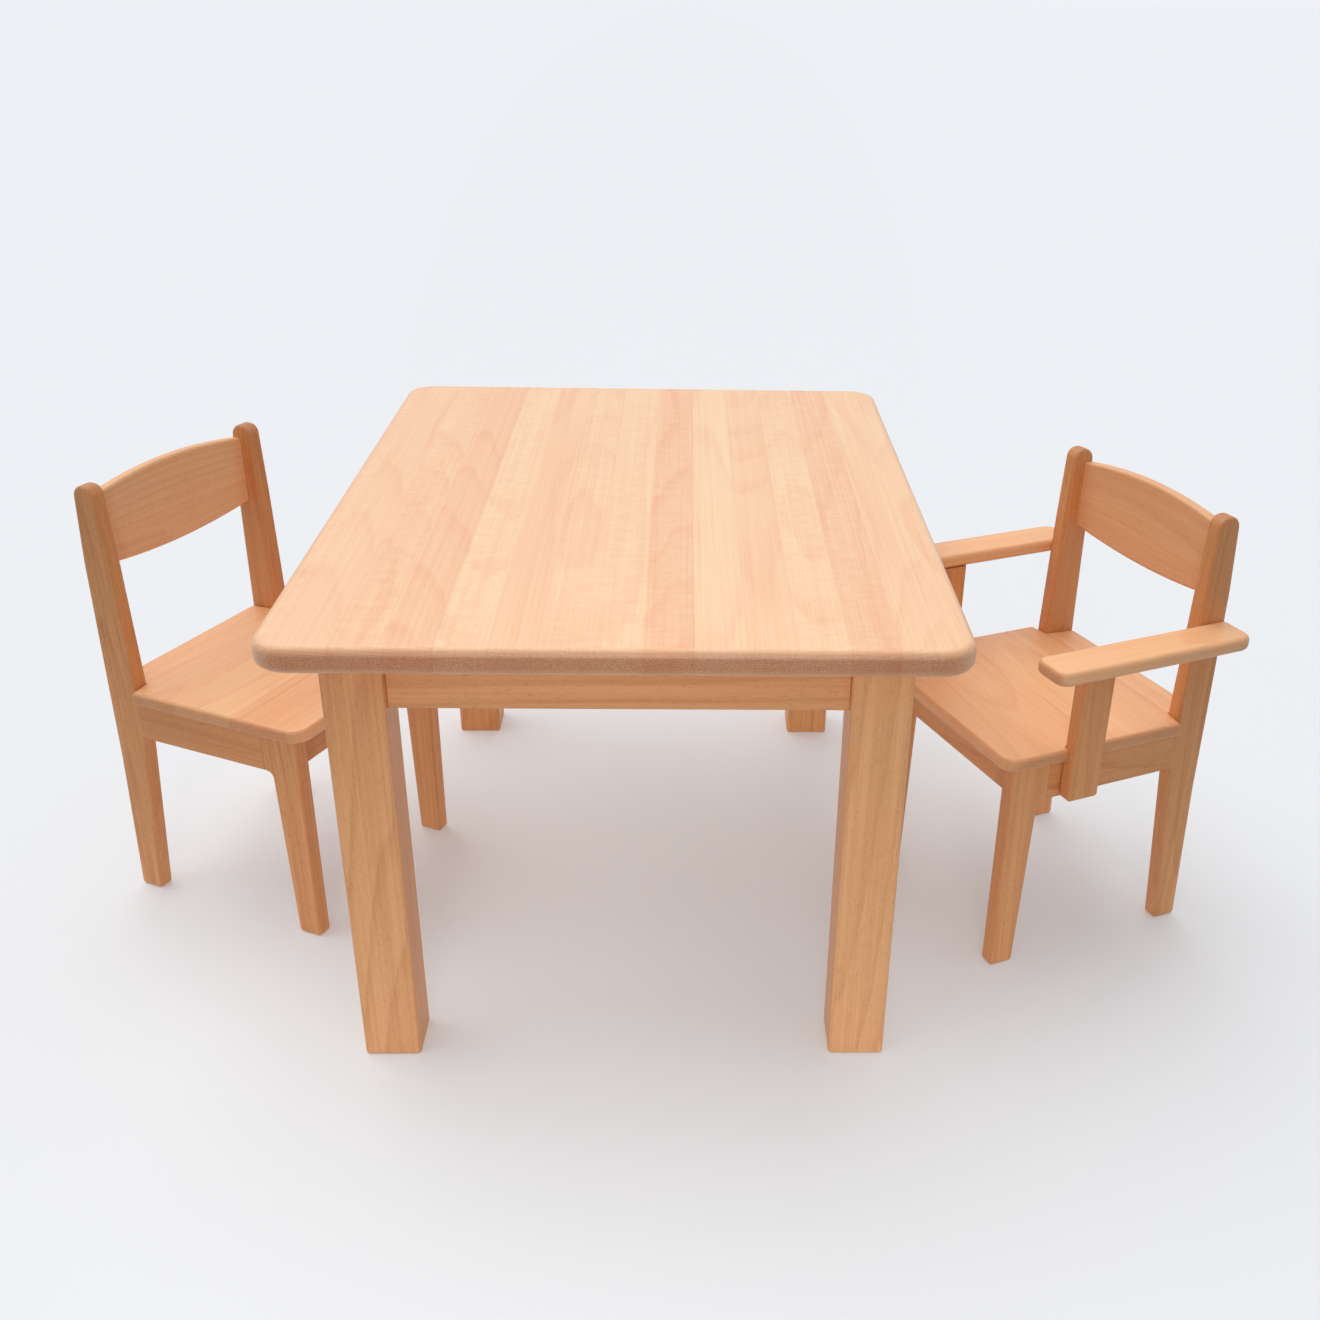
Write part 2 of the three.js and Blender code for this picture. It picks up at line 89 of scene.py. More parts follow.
# %% Helpers for node trees
def plug(tree, made, inputs):
    """Links each socket to its input, and sets any other value on the input itself."""
    for key, value in inputs.items():
        if isinstance(value, bpy.types.NodeSocket):
            tree.links.new(value, made.inputs[key])
        else:
            made.inputs[key].default_value = value


def node(tree, kind, inputs=(), **settings):
    made = tree.nodes.new(kind)
    for key, value in settings.items():
        setattr(made, key, value)
    plug(tree, made, dict(inputs))
    return made


def out(tree, kind, inputs=(), **settings):
    """Adds a node and gives its first output."""
    return node(tree, kind, inputs, **settings).outputs[0]


def form(tree, kind, inputs=(), **settings):
    return out(tree, "GeometryNode" + kind, inputs, **settings)


def calc(tree, operation, *values, clamp=False):
    return out(tree, "ShaderNodeMath", enumerate(values), operation=operation, use_clamp=clamp)


def plus(tree, first, second):
    return calc(tree, "ADD", first, second)


def minus(tree, first, second):
    return calc(tree, "SUBTRACT", first, second)


def times(tree, first, second, clamp=False):
    return calc(tree, "MULTIPLY", first, second, clamp=clamp)


def madd(tree, first, second, third, clamp=False):
    return calc(tree, "MULTIPLY_ADD", first, second, third, clamp=clamp)


def centred(tree, value, reach):
    """Turns a 0 to 1 value into one from -reach to +reach."""
    return times(tree, minus(tree, value, 0.5), 2 * reach)


def rescale(tree, value, start, end, first=0.0, last=1.0):
    """Runs evenly from first to last while value goes from start to end."""
    return out(tree, "ShaderNodeMapRange", {
        "Value": value, "From Min": start, "From Max": end, "To Min": first, "To Max": last})


def vector(tree, x, y, z):
    return out(tree, "ShaderNodeCombineXYZ", {"X": x, "Y": y, "Z": z})


def split(tree, value):
    return node(tree, "ShaderNodeSeparateXYZ", {0: value}).outputs


def noise(tree, at, scale, detail=2.0):
    return out(tree, "ShaderNodeTexNoise", {"Vector": at, "Scale": scale, "Detail": detail})


def scaled_noise(tree, at, scales, detail=2.0):
    """Noise with its own number of cells in a metre along each axis."""
    scaled = out(tree, "ShaderNodeVectorMath", {0: at, 1: scales}, operation="MULTIPLY")
    return noise(tree, scaled, 1.0, detail)


def attribute(tree, name, output="Vector"):
    return node(tree, "ShaderNodeAttribute", attribute_name=name).outputs[output]


def object_place(tree):
    return node(tree, "ShaderNodeTexCoord").outputs["Object"]


def mix(tree, amount, first, second, blend="MIX"):
    inputs = {0: amount, 6: first, 7: second}
    return node(tree, "ShaderNodeMix", inputs, data_type="RGBA", blend_type=blend).outputs[2]


def relief(tree, height, strength, depth):
    return out(tree, "ShaderNodeBump", {"Height": height, "Strength": strength, "Distance": depth})


def ramp(tree, amount, stops):
    """stops is a list of (place, grey) pairs."""
    made = node(tree, "ShaderNodeValToRGB", {"Fac": amount})
    elements = made.color_ramp.elements
    while len(elements) < len(stops):
        elements.new(0.5)
    for element, (place, grey) in zip(elements, stops):
        element.position = place
        element.color = (grey, grey, grey, 1)
    return made.outputs["Color"]


def sockets(tree, direction, wanted):
    """wanted gives each name its default value, or its kind where it has no default."""
    for name, value in wanted.items():
        kind = value if isinstance(value, str) else "Float" if isinstance(value, float) else "Color"
        made = tree.interface.new_socket(name=name, in_out=direction, socket_type=f"NodeSocket{kind}")
        if kind != value:
            made.default_value = value


# %% Helpers for materials and objects
def new_material(name):
    material = bpy.data.materials.new(name)
    material.use_nodes = True
    return material, material.node_tree, material.node_tree.nodes["Principled BSDF"]


def put(name, data):
    """Makes an object of some data and puts it in the scene."""
    made = bpy.data.objects.new(name, data)
    bpy.context.scene.collection.objects.link(made)
    return made


# %% [markdown]
# ## How beech looks
#
# Beech is a pale, even wood with growth rings, short dark flecks and a fine fibre. A flat pattern would
# look printed on, so the rings here are solid: they are cylinders round the tree's middle, a few
# centimetres under each stave, and the board cuts through them. That gives long arches on a face, straight
# lines on an edge and curved rings on the end grain, as in a real board.
#
# Each board carries three attributes on its points. "grain" is the place inside the board in metres: along
# the grain, across it and in depth. "board" holds the board's own number, its stave count across, and how
# near the point is to a rounded edge. "end" says how squarely the surface cuts across the grain. A glued-up
# panel takes a new tree and a new tone at each stave.

# %% The tree behind a stave
TREE_ASIDE = 0.035  # how far the tree's middle may lie to one side of the stave's middle, in metres
TREE_UNDER, UNDER_SPREAD = 0.018, 0.06  # how far it lies under the face, and how much further it may
ASIDE_DRIFT, UNDER_DRIFT = 0.012, 0.014  # how much both wander along the stave
RING_WAVER = 0.0007
GLUE_LINE = 0.0004


def stave_group():
    tree = bpy.data.node_groups.new("beech stave", "ShaderNodeTree")
    sockets(tree, "INPUT", {"Stave Width": 0.06})
    sockets(tree, "OUTPUT", {"Place": "Vector", "Ring Distance": "Float", "Tone": "Float",
                             "Chance": "Float", "Joint": "Float"})
    width = out(tree, "NodeGroupInput")
    number, count, _ = split(tree, attribute(tree, "board"))
    along, across, depth = split(tree, attribute(tree, "grain"))
    index = calc(tree, "FLOOR", count)
    share = minus(tree, count, index)
    key = plus(tree, times(tree, number, 7.13), times(tree, index, 1.37))  # a number for each stave
    chance = node(tree, "ShaderNodeTexWhiteNoise", {"W": key}, noise_dimensions="1D").outputs
    first, second, third = node(tree, "ShaderNodeSeparateColor", {0: chance["Color"]}).outputs
    own_along = plus(tree, along, times(tree, key, 3.7))
    place = vector(tree, own_along, across, depth)

    drift = noise(tree, vector(tree, times(tree, own_along, 1.3), key, 0.0), 1.0, 1.0)
    middle = plus(tree, centred(tree, first, TREE_ASIDE), centred(tree, drift, ASIDE_DRIFT))
    sideways = minus(tree, times(tree, minus(tree, share, 0.5), width), middle)
    taper = noise(tree, vector(tree, times(tree, own_along, 1.1), key, 5.0), 1.0, 0.0)
    under = madd(tree, second, UNDER_SPREAD, TREE_UNDER)
    down = plus(tree, depth, plus(tree, under, centred(tree, taper, UNDER_DRIFT)))
    squared = plus(tree, calc(tree, "POWER", sideways, 2.0), calc(tree, "POWER", down, 2.0))
    waver = centred(tree, scaled_noise(tree, place, (4, 45, 45)), RING_WAVER)
    distance = plus(tree, calc(tree, "SQRT", squared), waver)

    rim = times(tree, calc(tree, "MINIMUM", share, minus(tree, 1.0, share)), width)
    joint = rescale(tree, rim, 0.0, GLUE_LINE, 1.0, 0.0)
    node(tree, "NodeGroupOutput", {"Place": place, "Ring Distance": distance, "Tone": chance["Value"],
                                   "Chance": third, "Joint": joint})
    return tree


BEECH_STAVE = stave_group()
print("group", BEECH_STAVE.name, "with", len(BEECH_STAVE.nodes), "nodes")

# %% [markdown]
# ## The figure of the wood
#
# A second group turns that place into what the eye sees. Rings are soft dark lines. Streaks and fibre are
# noises stretched along the grain, at about 3 mm and 0.7 mm. Flecks are the short dashes that make beech
# beech. Curl is the faint cross ripple that some staves show. All of them only shift the wood a little
# between a pale and a deep colour, and the same parts give the roughness and the height for the bump. Where
# the surface cuts across the grain, the pores darken it instead.

# %% The figure group
RING_SHADE = [(0.0, 0.0), (0.62, 0.2), (0.9, 1.0), (1.0, 0.0)]  # from one dark line to the next
CURL_SHARE = [(0.0, 0.1), (0.66, 0.1), (0.78, 1.0), (1.0, 1.0)]  # about a quarter of the staves are curly
MEAN_TONE = 0.45
FIBRE_SHADE, BLOTCH_SHADE, JOINT_SHADE = 0.12, 0.20, 0.16
PORE_SHADE, PORE_SPREAD = 0.72, 0.35


def stretched(tree, place, along, across, detail=2.0):
    return scaled_noise(tree, place, (along, across, across), detail)


def figure_group():
    tree = bpy.data.node_groups.new("beech figure", "ShaderNodeTree")
    sockets(tree, "INPUT", {
        "Stave Width": 0.06, "Ring Gap": 0.003, "Rings": 0.3, "Staves": 0.3, "Chosen Tone": 0.0,
        "Streaks": 0.3, "Curl": 0.2, "Flecks": 0.3, "Pale": (0.8, 0.55, 0.36, 1),
        "Deep": (0.6, 0.33, 0.2, 1), "End Grain": (0.5, 0.28, 0.16, 1), "Roughness": 0.4,
    })
    sockets(tree, "OUTPUT", {"Color": "Color", "Roughness": "Float", "Height": "Float"})
    given = node(tree, "NodeGroupInput").outputs
    stave = {"Stave Width": given["Stave Width"]}
    stave = node(tree, "ShaderNodeGroup", stave, node_tree=BEECH_STAVE).outputs
    place, joint = stave["Place"], stave["Joint"]

    turns = calc(tree, "DIVIDE", stave["Ring Distance"], given["Ring Gap"])
    ring = ramp(tree, calc(tree, "FRACT", turns), RING_SHADE)
    fade = stretched(tree, place, 4, 30, 1.0)
    ring = times(tree, centred(tree, ring, 0.5), times(tree, fade, 2.0))
    streak = centred(tree, stretched(tree, place, 2.6, 330, 3.0), 1.0)
    fibre = centred(tree, stretched(tree, place, 45, 1500), 1.0)
    blotch = centred(tree, stretched(tree, place, 2.2, 26), 1.0)
    curly = ramp(tree, stave["Chance"], CURL_SHARE)
    curl = times(tree, centred(tree, stretched(tree, place, 135, 62), 1.0), curly)
    fleck = rescale(tree, stretched(tree, place, 190, 1100, 0.0), 0.66, 0.74)

    deep = madd(tree, centred(tree, stave["Tone"], 0.5), given["Staves"], MEAN_TONE)
    deep = plus(tree, deep, given["Chosen Tone"])
    for value, weight in ((ring, given["Rings"]), (streak, given["Streaks"]), (curl, given["Curl"]),
                          (fleck, given["Flecks"]), (fibre, FIBRE_SHADE), (blotch, BLOTCH_SHADE)):
        deep = madd(tree, value, weight, deep)
    deep = madd(tree, joint, JOINT_SHADE, deep, clamp=True)
    color = mix(tree, deep, given["Pale"], given["Deep"])
    pores = centred(tree, stretched(tree, place, 700, 700), 1.0)
    pores = madd(tree, pores, PORE_SPREAD, PORE_SHADE)
    across = madd(tree, ring, 0.5, deep, clamp=True)
    across = mix(tree, across, given["Pale"], given["Deep"])
    across = mix(tree, pores, across, given["End Grain"], "MULTIPLY")
    color = mix(tree, attribute(tree, "end", "Fac"), color, across)

    roughness, height = given["Roughness"], times(tree, fibre, 0.6)
    for value, weight in ((fibre, 0.06), (blotch, 0.05)):
        roughness = madd(tree, value, weight, roughness)
    for value, weight in ((ring, -0.25), (streak, 0.5), (fleck, -0.6), (joint, -0.9)):
        height = madd(tree, value, weight, height)
    node(tree, "NodeGroupOutput", {"Color": color, "Roughness": roughness, "Height": height})
    return tree


BEECH_FIGURE = figure_group()

# %% [markdown]
# ## Painted shade on the rounded edges
#
# The rounded edges of the wood are painted darker than the faces: painted shade, for the dimming of a rim
# that turns away from the light. Hands have also polished them, so they are smoother than the faces. The
# steel is made a little brighter and smoother in patches all over. One group does it for every finish: it
# takes a colour and a roughness, breaks the edge mask up with noise and returns both values changed.


# %% The rubbed edge group
def edge_group():
    tree = bpy.data.node_groups.new("edge shade and wear", "ShaderNodeTree")
    sockets(tree, "INPUT", {
        "Color": (0.8, 0.8, 0.8, 1), "Roughness": 0.4, "Amount": 0.3,
        "Shade And Wear Color": (0.9, 0.7, 0.5, 1), "Smoother": 0.06,
    })
    sockets(tree, "OUTPUT", {"Color": "Color", "Roughness": "Float"})
    given = node(tree, "NodeGroupInput").outputs
    edge = split(tree, attribute(tree, "board"))[2]
    patchy = ramp(tree, noise(tree, object_place(tree), 34.0, 3.0), [(0.3, 0.3), (0.7, 1.0)])
    edge_shade_and_wear = times(tree, edge, patchy)
    # Painted shade: the wood's rounded edges are pulled towards a darker colour; the steel towards a
    # brighter one.
    mask = times(tree, edge_shade_and_wear, given["Amount"], clamp=True)
    color = mix(tree, mask, given["Color"], given["Shade And Wear Color"])
    roughness = minus(tree, given["Roughness"], times(tree, edge_shade_and_wear, given["Smoother"]))
    node(tree, "NodeGroupOutput", {"Color": color, "Roughness": roughness})
    return tree


EDGE_SHADE_AND_WEAR = edge_group()

# %% [markdown]
# ## The beech finishes
#
# The table top is the palest: it is sanded finest and lit from above. Seats, slats and armrests are the
# same wood a shade warmer, and the legs and rails are the most tan. The table's aprons and front legs get a
# paler copy of the frame beech: painted light, for the light that reaches them from the front, while the
# back legs keep the darker frame beech, as painted shade under the table. Each finish places the shared
# groups with its own values. The oil film is a thin rough coat over the wood.

# %% Beech materials
WOOD_BUMP, WOOD_RELIEF = 0.35, 0.0002
OIL_ROUGHNESS = 0.35


def beech(name, figure, edge_shade, amount=0.3, coat=0.12):
    material, tree, shader = new_material(name)
    wood = node(tree, "ShaderNodeGroup", figure, node_tree=BEECH_FIGURE).outputs
    # The edge group paints shade on the rounded edges, darker by the edge colour, and makes them smoother.
    edge = node(tree, "ShaderNodeGroup", {
        "Color": wood["Color"], "Roughness": wood["Roughness"], "Shade And Wear Color": edge_shade, "Amount": amount,
    }, node_tree=EDGE_SHADE_AND_WEAR).outputs
    plug(tree, shader, {
        "Base Color": edge["Color"], "Roughness": edge["Roughness"],
        "Normal": relief(tree, wood["Height"], WOOD_BUMP, WOOD_RELIEF),
        "Coat Weight": coat, "Coat Roughness": OIL_ROUGHNESS,
    })
    return material

TABLE_STAVE = 0.0425
SEAT_STAVE = 0.071
SINGLE_BOARD = 0.1

TOP_BEECH = beech("beech table top", {
    "Stave Width": TABLE_STAVE, "Ring Gap": 0.0024, "Rings": 0.24, "Staves": 0.10, "Streaks": 0.44,
    "Curl": 0.34, "Flecks": 0.25, "Pale": (1.0, 0.68, 0.41, 1), "Deep": (0.90, 0.44, 0.235, 1),
    "End Grain": (0.44, 0.20, 0.118, 1), "Roughness": 0.42,
}, (0.84, 0.42, 0.23, 1))
PANEL_BEECH = beech("beech chair panel", {
    "Stave Width": SEAT_STAVE, "Ring Gap": 0.0028, "Rings": 0.30, "Staves": 0.55, "Streaks": 0.46,
    "Curl": 0.16, "Flecks": 0.3, "Pale": (1.0, 0.59, 0.305, 1), "Deep": (0.85, 0.39, 0.17, 1),
    "End Grain": (0.62, 0.46, 0.36, 1), "Roughness": 0.44,
}, (0.74, 0.33, 0.135, 1), amount=0.5)
FRAME_FIGURE = {
    "Stave Width": SINGLE_BOARD, "Ring Gap": 0.0026, "Rings": 0.32, "Staves": 0.36, "Streaks": 0.50,
    "Curl": 0.10, "Flecks": 0.35, "Pale": (0.84, 0.395, 0.152, 1), "Deep": (0.58, 0.212, 0.064, 1),
    "End Grain": (0.62, 0.46, 0.36, 1), "Roughness": 0.48,
}
FRAME_BEECH = beech("beech frame", FRAME_FIGURE, (0.58, 0.21, 0.07, 1), amount=0.45, coat=0.05)
# A paler, lit copy of the frame beech: painted light on the table's aprons and front legs.
LIT_TABLE_BEECH = beech("beech table frame lit", {
    **FRAME_FIGURE, "Pale": (0.92, 0.475, 0.215, 1), "Deep": (0.66, 0.28, 0.105, 1),
}, (0.64, 0.26, 0.095, 1), amount=0.45, coat=0.05)

# %% [markdown]
# A maker lays the staves of a top out by eye, dark beside light. The tones of the fifteen staves are
# therefore set one by one: a ramp with one even step per stave.

# %% Stave tones of the table top
STAVE_TONES = (0.50, 0.55, 0.60, 0.88, 0.22, 0.55, 0.38, 0.28, 0.78, 0.18, 0.45, 0.20, 0.84, 0.28, 0.38)
STAVE_CONTRAST = 0.32


def lay_staves(material, tones, contrast):
    tree = material.node_tree
    group = next(n for n in tree.nodes if n.bl_idname == "ShaderNodeGroup" and n.node_tree == BEECH_FIGURE)
    count = split(tree, attribute(tree, "board"))[1]
    share = calc(tree, "DIVIDE", plus(tree, count, 1.0), float(len(tones)))
    steps = ramp(tree, share, [(i / len(tones), tone) for i, tone in enumerate(tones)])
    steps.node.color_ramp.interpolation = "CONSTANT"
    plug(tree, group, {"Chosen Tone": centred(tree, steps, contrast)})


lay_staves(TOP_BEECH, STAVE_TONES, STAVE_CONTRAST)

# %% [markdown]
# ## Boards
#
# Every wooden piece is a board: a flat outline given a thickness, with its edges rounded over. A Bevel
# modifier would round all the edges, also the ones where two boards are glued flush. So the rounding is
# built as rings of points: each ring is the outline pulled in a little more, along a quarter circle. At a
# joint the outline's corner is marked "slide", which keeps the glued edge sharp and lets the rounding run
# on smoothly into the next board, or "sharp", which leaves the corner as it is.

# %% Outlines
ARC_STEP = radians(11)


def trace(corners):
    """corners is a list of (x, y, radius), walked anticlockwise, with a kind where it is not eased."""
    points = []
    for i, (x, y, radius, *kind) in enumerate(corners):
        here, kind = Vector((x, y)), kind[0] if kind else "eased"
        if radius == 0:
            points.append((here, kind))
            continue
        back = (Vector(corners[i - 1][:2]) - here).normalized()
        ahead = (Vector(corners[(i + 1) % len(corners)][:2]) - here).normalized()
        half = back.angle(ahead) / 2
        centre = here + (back + ahead).normalized() * radius / sin(half)
        start = here + back * radius / tan(half) - centre
        sweep = pi - 2 * half
        turn = 1 if back.cross(ahead) < 0 else -1
        steps = max(2, round(sweep / ARC_STEP))
        for k in range(steps + 1):
            angle = turn * sweep * k / steps
            spoke = Vector((start.x * cos(angle) - start.y * sin(angle),
                            start.x * sin(angle) + start.y * cos(angle)))
            points.append((centre + spoke, kind))
    return points


def pull(points):
    """How each point moves when the eased edges are pulled in by one unit."""
    moves = []
    for i, (here, kind) in enumerate(points):
        before, after = points[i - 1], points[(i + 1) % len(points)]
        along_in = (here - before[0]).normalized()
        along_out = (after[0] - here).normalized()
        normal_in, normal_out = (Vector((-d.y, d.x)) for d in (along_in, along_out))
        if kind == "sharp":
            moves.append(Vector((0, 0)))
        elif kind == "slide in":  # the edge before this corner is the glued one
            moves.append(-along_in / -along_in.dot(normal_out))
        elif kind == "slide out":  # the edge after this corner is the glued one
            moves.append(along_out / along_out.dot(normal_in))
        else:
            moves.append((normal_in + normal_out) / (1 + normal_in.dot(normal_out)))
    return moves


# %% [markdown]
# A board's mesh is the stack of rings with a cap at each end. Quarter circles are cut in even steps, and
# the mask for the edges' painted shade and polish is strongest halfway round. The plane says which two axes
# the outline lies in, and the grain says along, across and deep in the same axes. A Weighted Normal
# modifier keeps the large faces flat while the rounding stays smooth.

# %% Board meshes
MITRE = 1.2  # a point that moves further than this is a sharp corner, which shows no end grain
board_numbers = iter(range(1, 500))
MADE = []


def rework(mesh, merge=0.0, flatten=0.0):
    """Merges close points, and then joins flat faces or else turns all faces out."""
    shape = bmesh.new()
    shape.from_mesh(mesh)
    if merge:
        bmesh.ops.remove_doubles(shape, verts=shape.verts, dist=merge)
    if flatten:
        bmesh.ops.dissolve_limit(shape, angle_limit=flatten, verts=shape.verts, edges=shape.edges)
    else:
        bmesh.ops.recalc_face_normals(shape, faces=shape.faces)
    shape.to_mesh(mesh)
    shape.free()


def finish_piece(name, body, mesh, material, stands_for, smooth_angle=38):
    """Puts a mesh given in its body's own coordinates in its place, and ties it to the frame."""
    mesh.transform(PLACE[body])
    mesh.materials.clear()
    mesh.materials.append(material)
    mesh.shade_smooth()
    mesh.set_sharp_from_angle(angle=radians(smooth_angle))
    piece = put(name, mesh)
    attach(piece, body)
    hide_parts(*stands_for)
    MADE.append(piece)
    return piece
def write_attributes(mesh, grain, stave, edges=None, ends=None):
    """grain names the axes along, across and deep, such as "zxy"; stave is (first joint, width)."""
    number = next(board_numbers)
    along, across, deep = ("xyz".index(axis) for axis in grain)
    edges = edges or [0.0] * len(mesh.vertices)
    ends = ends or [0.0] * len(mesh.vertices)
    places, boards = [], []
    for vertex, edge in zip(mesh.vertices, edges):
        co = vertex.co
        places += [co[along], co[across], co[deep]]
        boards += [number, (co[across] - stave[0]) / stave[1], edge]
    mesh.attributes.new("grain", "FLOAT_VECTOR", "POINT").data.foreach_set("vector", places)
    mesh.attributes.new("board", "FLOAT_VECTOR", "POINT").data.foreach_set("vector", boards)
    mesh.attributes.new("end", "FLOAT", "POINT").data.foreach_set("value", ends)


def board(name, body, plane, corners, thickness, ease, grain, material, stave=None, steps=4):
    """thickness is (low, high) on the axis that plane leaves out."""
    outline = trace(corners)
    moves = pull(outline)
    first, second = ("xyz".index(axis) for axis in plane)
    third = 3 - first - second
    low, high = thickness
    quarter = [k / steps * pi / 2 for k in range(steps + 1)]
    rings = [(1 - sin(a), low + ease * (1 - cos(a)), a) for a in quarter]
    rings += [(1 - sin(a), high - ease * (1 - cos(a)), a) for a in reversed(quarter)]
    along, across = ("xyz".index(axis) for axis in grain[:2])
    verts, edges, ends = [], [], []
    for inset, level, angle in rings:
        for (here, _), move in zip(outline, moves):
            flat = here + move * inset * ease
            point = [0.0, 0.0, 0.0]
            point[first], point[second], point[third] = flat.x, flat.y, level
            verts.append(point)
            edges.append(sin(2 * angle) if move.length else 0.0)
            if along == third:
                ends.append(cos(angle) ** 2)
            else:
                outward = move[0 if along == first else 1]
                ends.append((sin(angle) * outward) ** 2 if move.length < MITRE else 0.0)
    count = len(outline)
    faces = [
        (r * count + i, r * count + (i + 1) % count, (r + 1) * count + (i + 1) % count, (r + 1) * count + i)
        for r in range(len(rings) - 1) for i in range(count)
    ]
    faces += [tuple(reversed(range(count))), tuple(range((len(rings) - 1) * count, len(rings) * count))]
    mesh = bpy.data.meshes.new(name)
    mesh.from_pydata(verts, [], faces)
    if stave is None:
        stave = (sum(v[across] for v in verts) / len(verts) - SINGLE_BOARD / 2, SINGLE_BOARD)
    write_attributes(mesh, grain, stave, edges, ends)
    rework(mesh)
    piece = finish_piece(name, body, mesh, material, [name.removesuffix("_wood")])
    piece.modifiers.new("flat faces", "WEIGHTED_NORMAL").keep_sharp = True


def box_corners(low, high, radius):
    return [(low[0], low[1], radius), (high[0], low[1], radius), (high[0], high[1], radius),
            (low[0], high[1], radius)]


def rail_corners(start, end, low, top):
    """A board between two others: only its lower edge is eased, and slides at the joints."""
    return [(start, low, 0, "slide in"), (end, low, 0, "slide out"), (end, top, 0, "sharp"),
            (start, top, 0, "sharp")]

# %% [markdown]
# ## The table top
#
# Thirteen staves of 42.5 mm, with a narrow one at each side, are glued edge to edge and run from front to
# back. The corners are rounded in plan, and the rim is rounded over above and below, which leaves a soft
# front edge of end grain. It is one board, and the stave lines come from the material, because the real
# joints can't be felt either.

# %% Table top
half = (table_high - table_low) / 2
TOP_CORNER = 0.032
TOP_ROUND = 0.0085
FIRST_JOINT = -half.x + 0.0235
board("table_top_wood", "table", "xy", box_corners((-half.x, -half.y), (half.x, half.y), TOP_CORNER),
      (table_low.z, table_high.z), TOP_ROUND, "yxz", TOP_BEECH,
      stave=(FIRST_JOINT, TABLE_STAVE), steps=7)
print("table top", [round(2 * v, 4) for v in half])

# %% [markdown]
# ## The table's legs and aprons
#
# The legs are square posts with eased corners, so the outline is the square and the thickness is the
# height. The aprons are boards between them, set back from the legs' faces. Only their lower edges are
# eased: the ends butt against the legs and the tops meet the table top.

# %% Legs and aprons
LEG_ROUND = 0.0042
FOOT_ROUND = 0.0025
APRON_ROUND = 0.0022

def own_box(node_name):
    """A CAD node's box in the table's own coordinates."""
    shift = PLACE["table"].inverted().translation
    low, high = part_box(node_name)
    return low + shift, high + shift


CORNERS = ("front_left", "front_right", "back_left", "back_right")
for corner in CORNERS:
    low, high = own_box(f"table_leg_{corner}")
    # Painted light and shade: front legs take the paler, lit beech; back legs, under the table, the darker
    # one.
    lit_or_shaded_beech = LIT_TABLE_BEECH if "front" in corner else FRAME_BEECH
    board(f"table_leg_{corner}_wood", "table", "xy", box_corners(low, high, LEG_ROUND), (low.z, high.z),
          FOOT_ROUND, "zxy", lit_or_shaded_beech)

SIDES = {"front": "xz", "back": "xz", "left": "yz", "right": "yz"}
for side, plane in SIDES.items():
    low, high = own_box(f"apron_{side}")
    along, through = (0, 1) if plane == "xz" else (1, 0)
    board(f"apron_{side}_wood", "table", plane, rail_corners(low[along], high[along], low.z, high.z),
          (low[through], high[through]), APRON_ROUND, {"xz": "xzy", "yz": "yzx"}[plane], LIT_TABLE_BEECH)
print("legs and aprons:", len(MADE) - 1, "boards")

# %% [markdown]
# ## Corner blocks and buttons
#
# Under the top, a block across each corner takes the leg's bolt, and small hooked buttons hold the top to
# the aprons. Their holes and hooks are already right in the CAD model, so each is a merged copy of its CAD
# mesh with the arrises taken off by a Bevel modifier, and it gets the grain attributes like any board.

# %% Boards copied from the CAD model
ARRIS = 0.0008


def from_cad(node_name, grain):
    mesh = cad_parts[node_name].data.copy()
    mesh.name = node_name + "_wood"
    rework(mesh, merge=1e-5, flatten=radians(0.5))
    mesh.transform(PLACE["table"].inverted())
    across = "xyz".index(grain[1])
    centre = sum(v.co[across] for v in mesh.vertices) / len(mesh.vertices)
    write_attributes(mesh, grain, (centre - SINGLE_BOARD / 2, SINGLE_BOARD))
    piece = finish_piece(node_name + "_wood", "table", mesh, FRAME_BEECH, [node_name])
    edge = piece.modifiers.new("arris", "BEVEL")
    edge.width, edge.segments, edge.limit_method, edge.angle_limit = ARRIS, 2, "ANGLE", radians(50)


for corner in CORNERS:
    from_cad(f"corner_block_{corner}", "xzy")
for side, plane in SIDES.items():
    from_cad(f"top_button_{side}", {"xz": "yxz", "yz": "xyz"}[plane])

# %% [markdown]
# ## The chairs' side frames
#
# Each side is a back leg that runs on up as the stile, a front leg and a rail between them, all 18 mm
# thick and glued flush. The rail's lower edge and the legs' inner edges are one routed round with a small
# fillet in each corner, and the glue line can only be seen as a change of grain. So the legs are drawn with
# their fillets, and the corners at the glue lines slide. Both chairs share every shape here.

# %% Sizes of a chair, in metres
HALF_WIDTH = 0.126
BOARD = 0.018
INNER = HALF_WIDTH - BOARD
HAIR = 0.0003  # clearance between two pieces
RAIL_LOW, RAIL_TOP = 0.200, 0.2447
SEAT_LOW, SEAT_TOP = 0.245, 0.260
SEAT_SIDE, SEAT_FRONT, SEAT_BACK = 0.134, 0.140, -0.116
STILE_FRONT = -0.078
LEG_BACK = 0.082  # where the side rail meets the front leg
FRAME_ROUND = 0.0034
FRONT_RAIL, BACK_RAIL = (0.094, 0.112), (-0.112, -0.094)

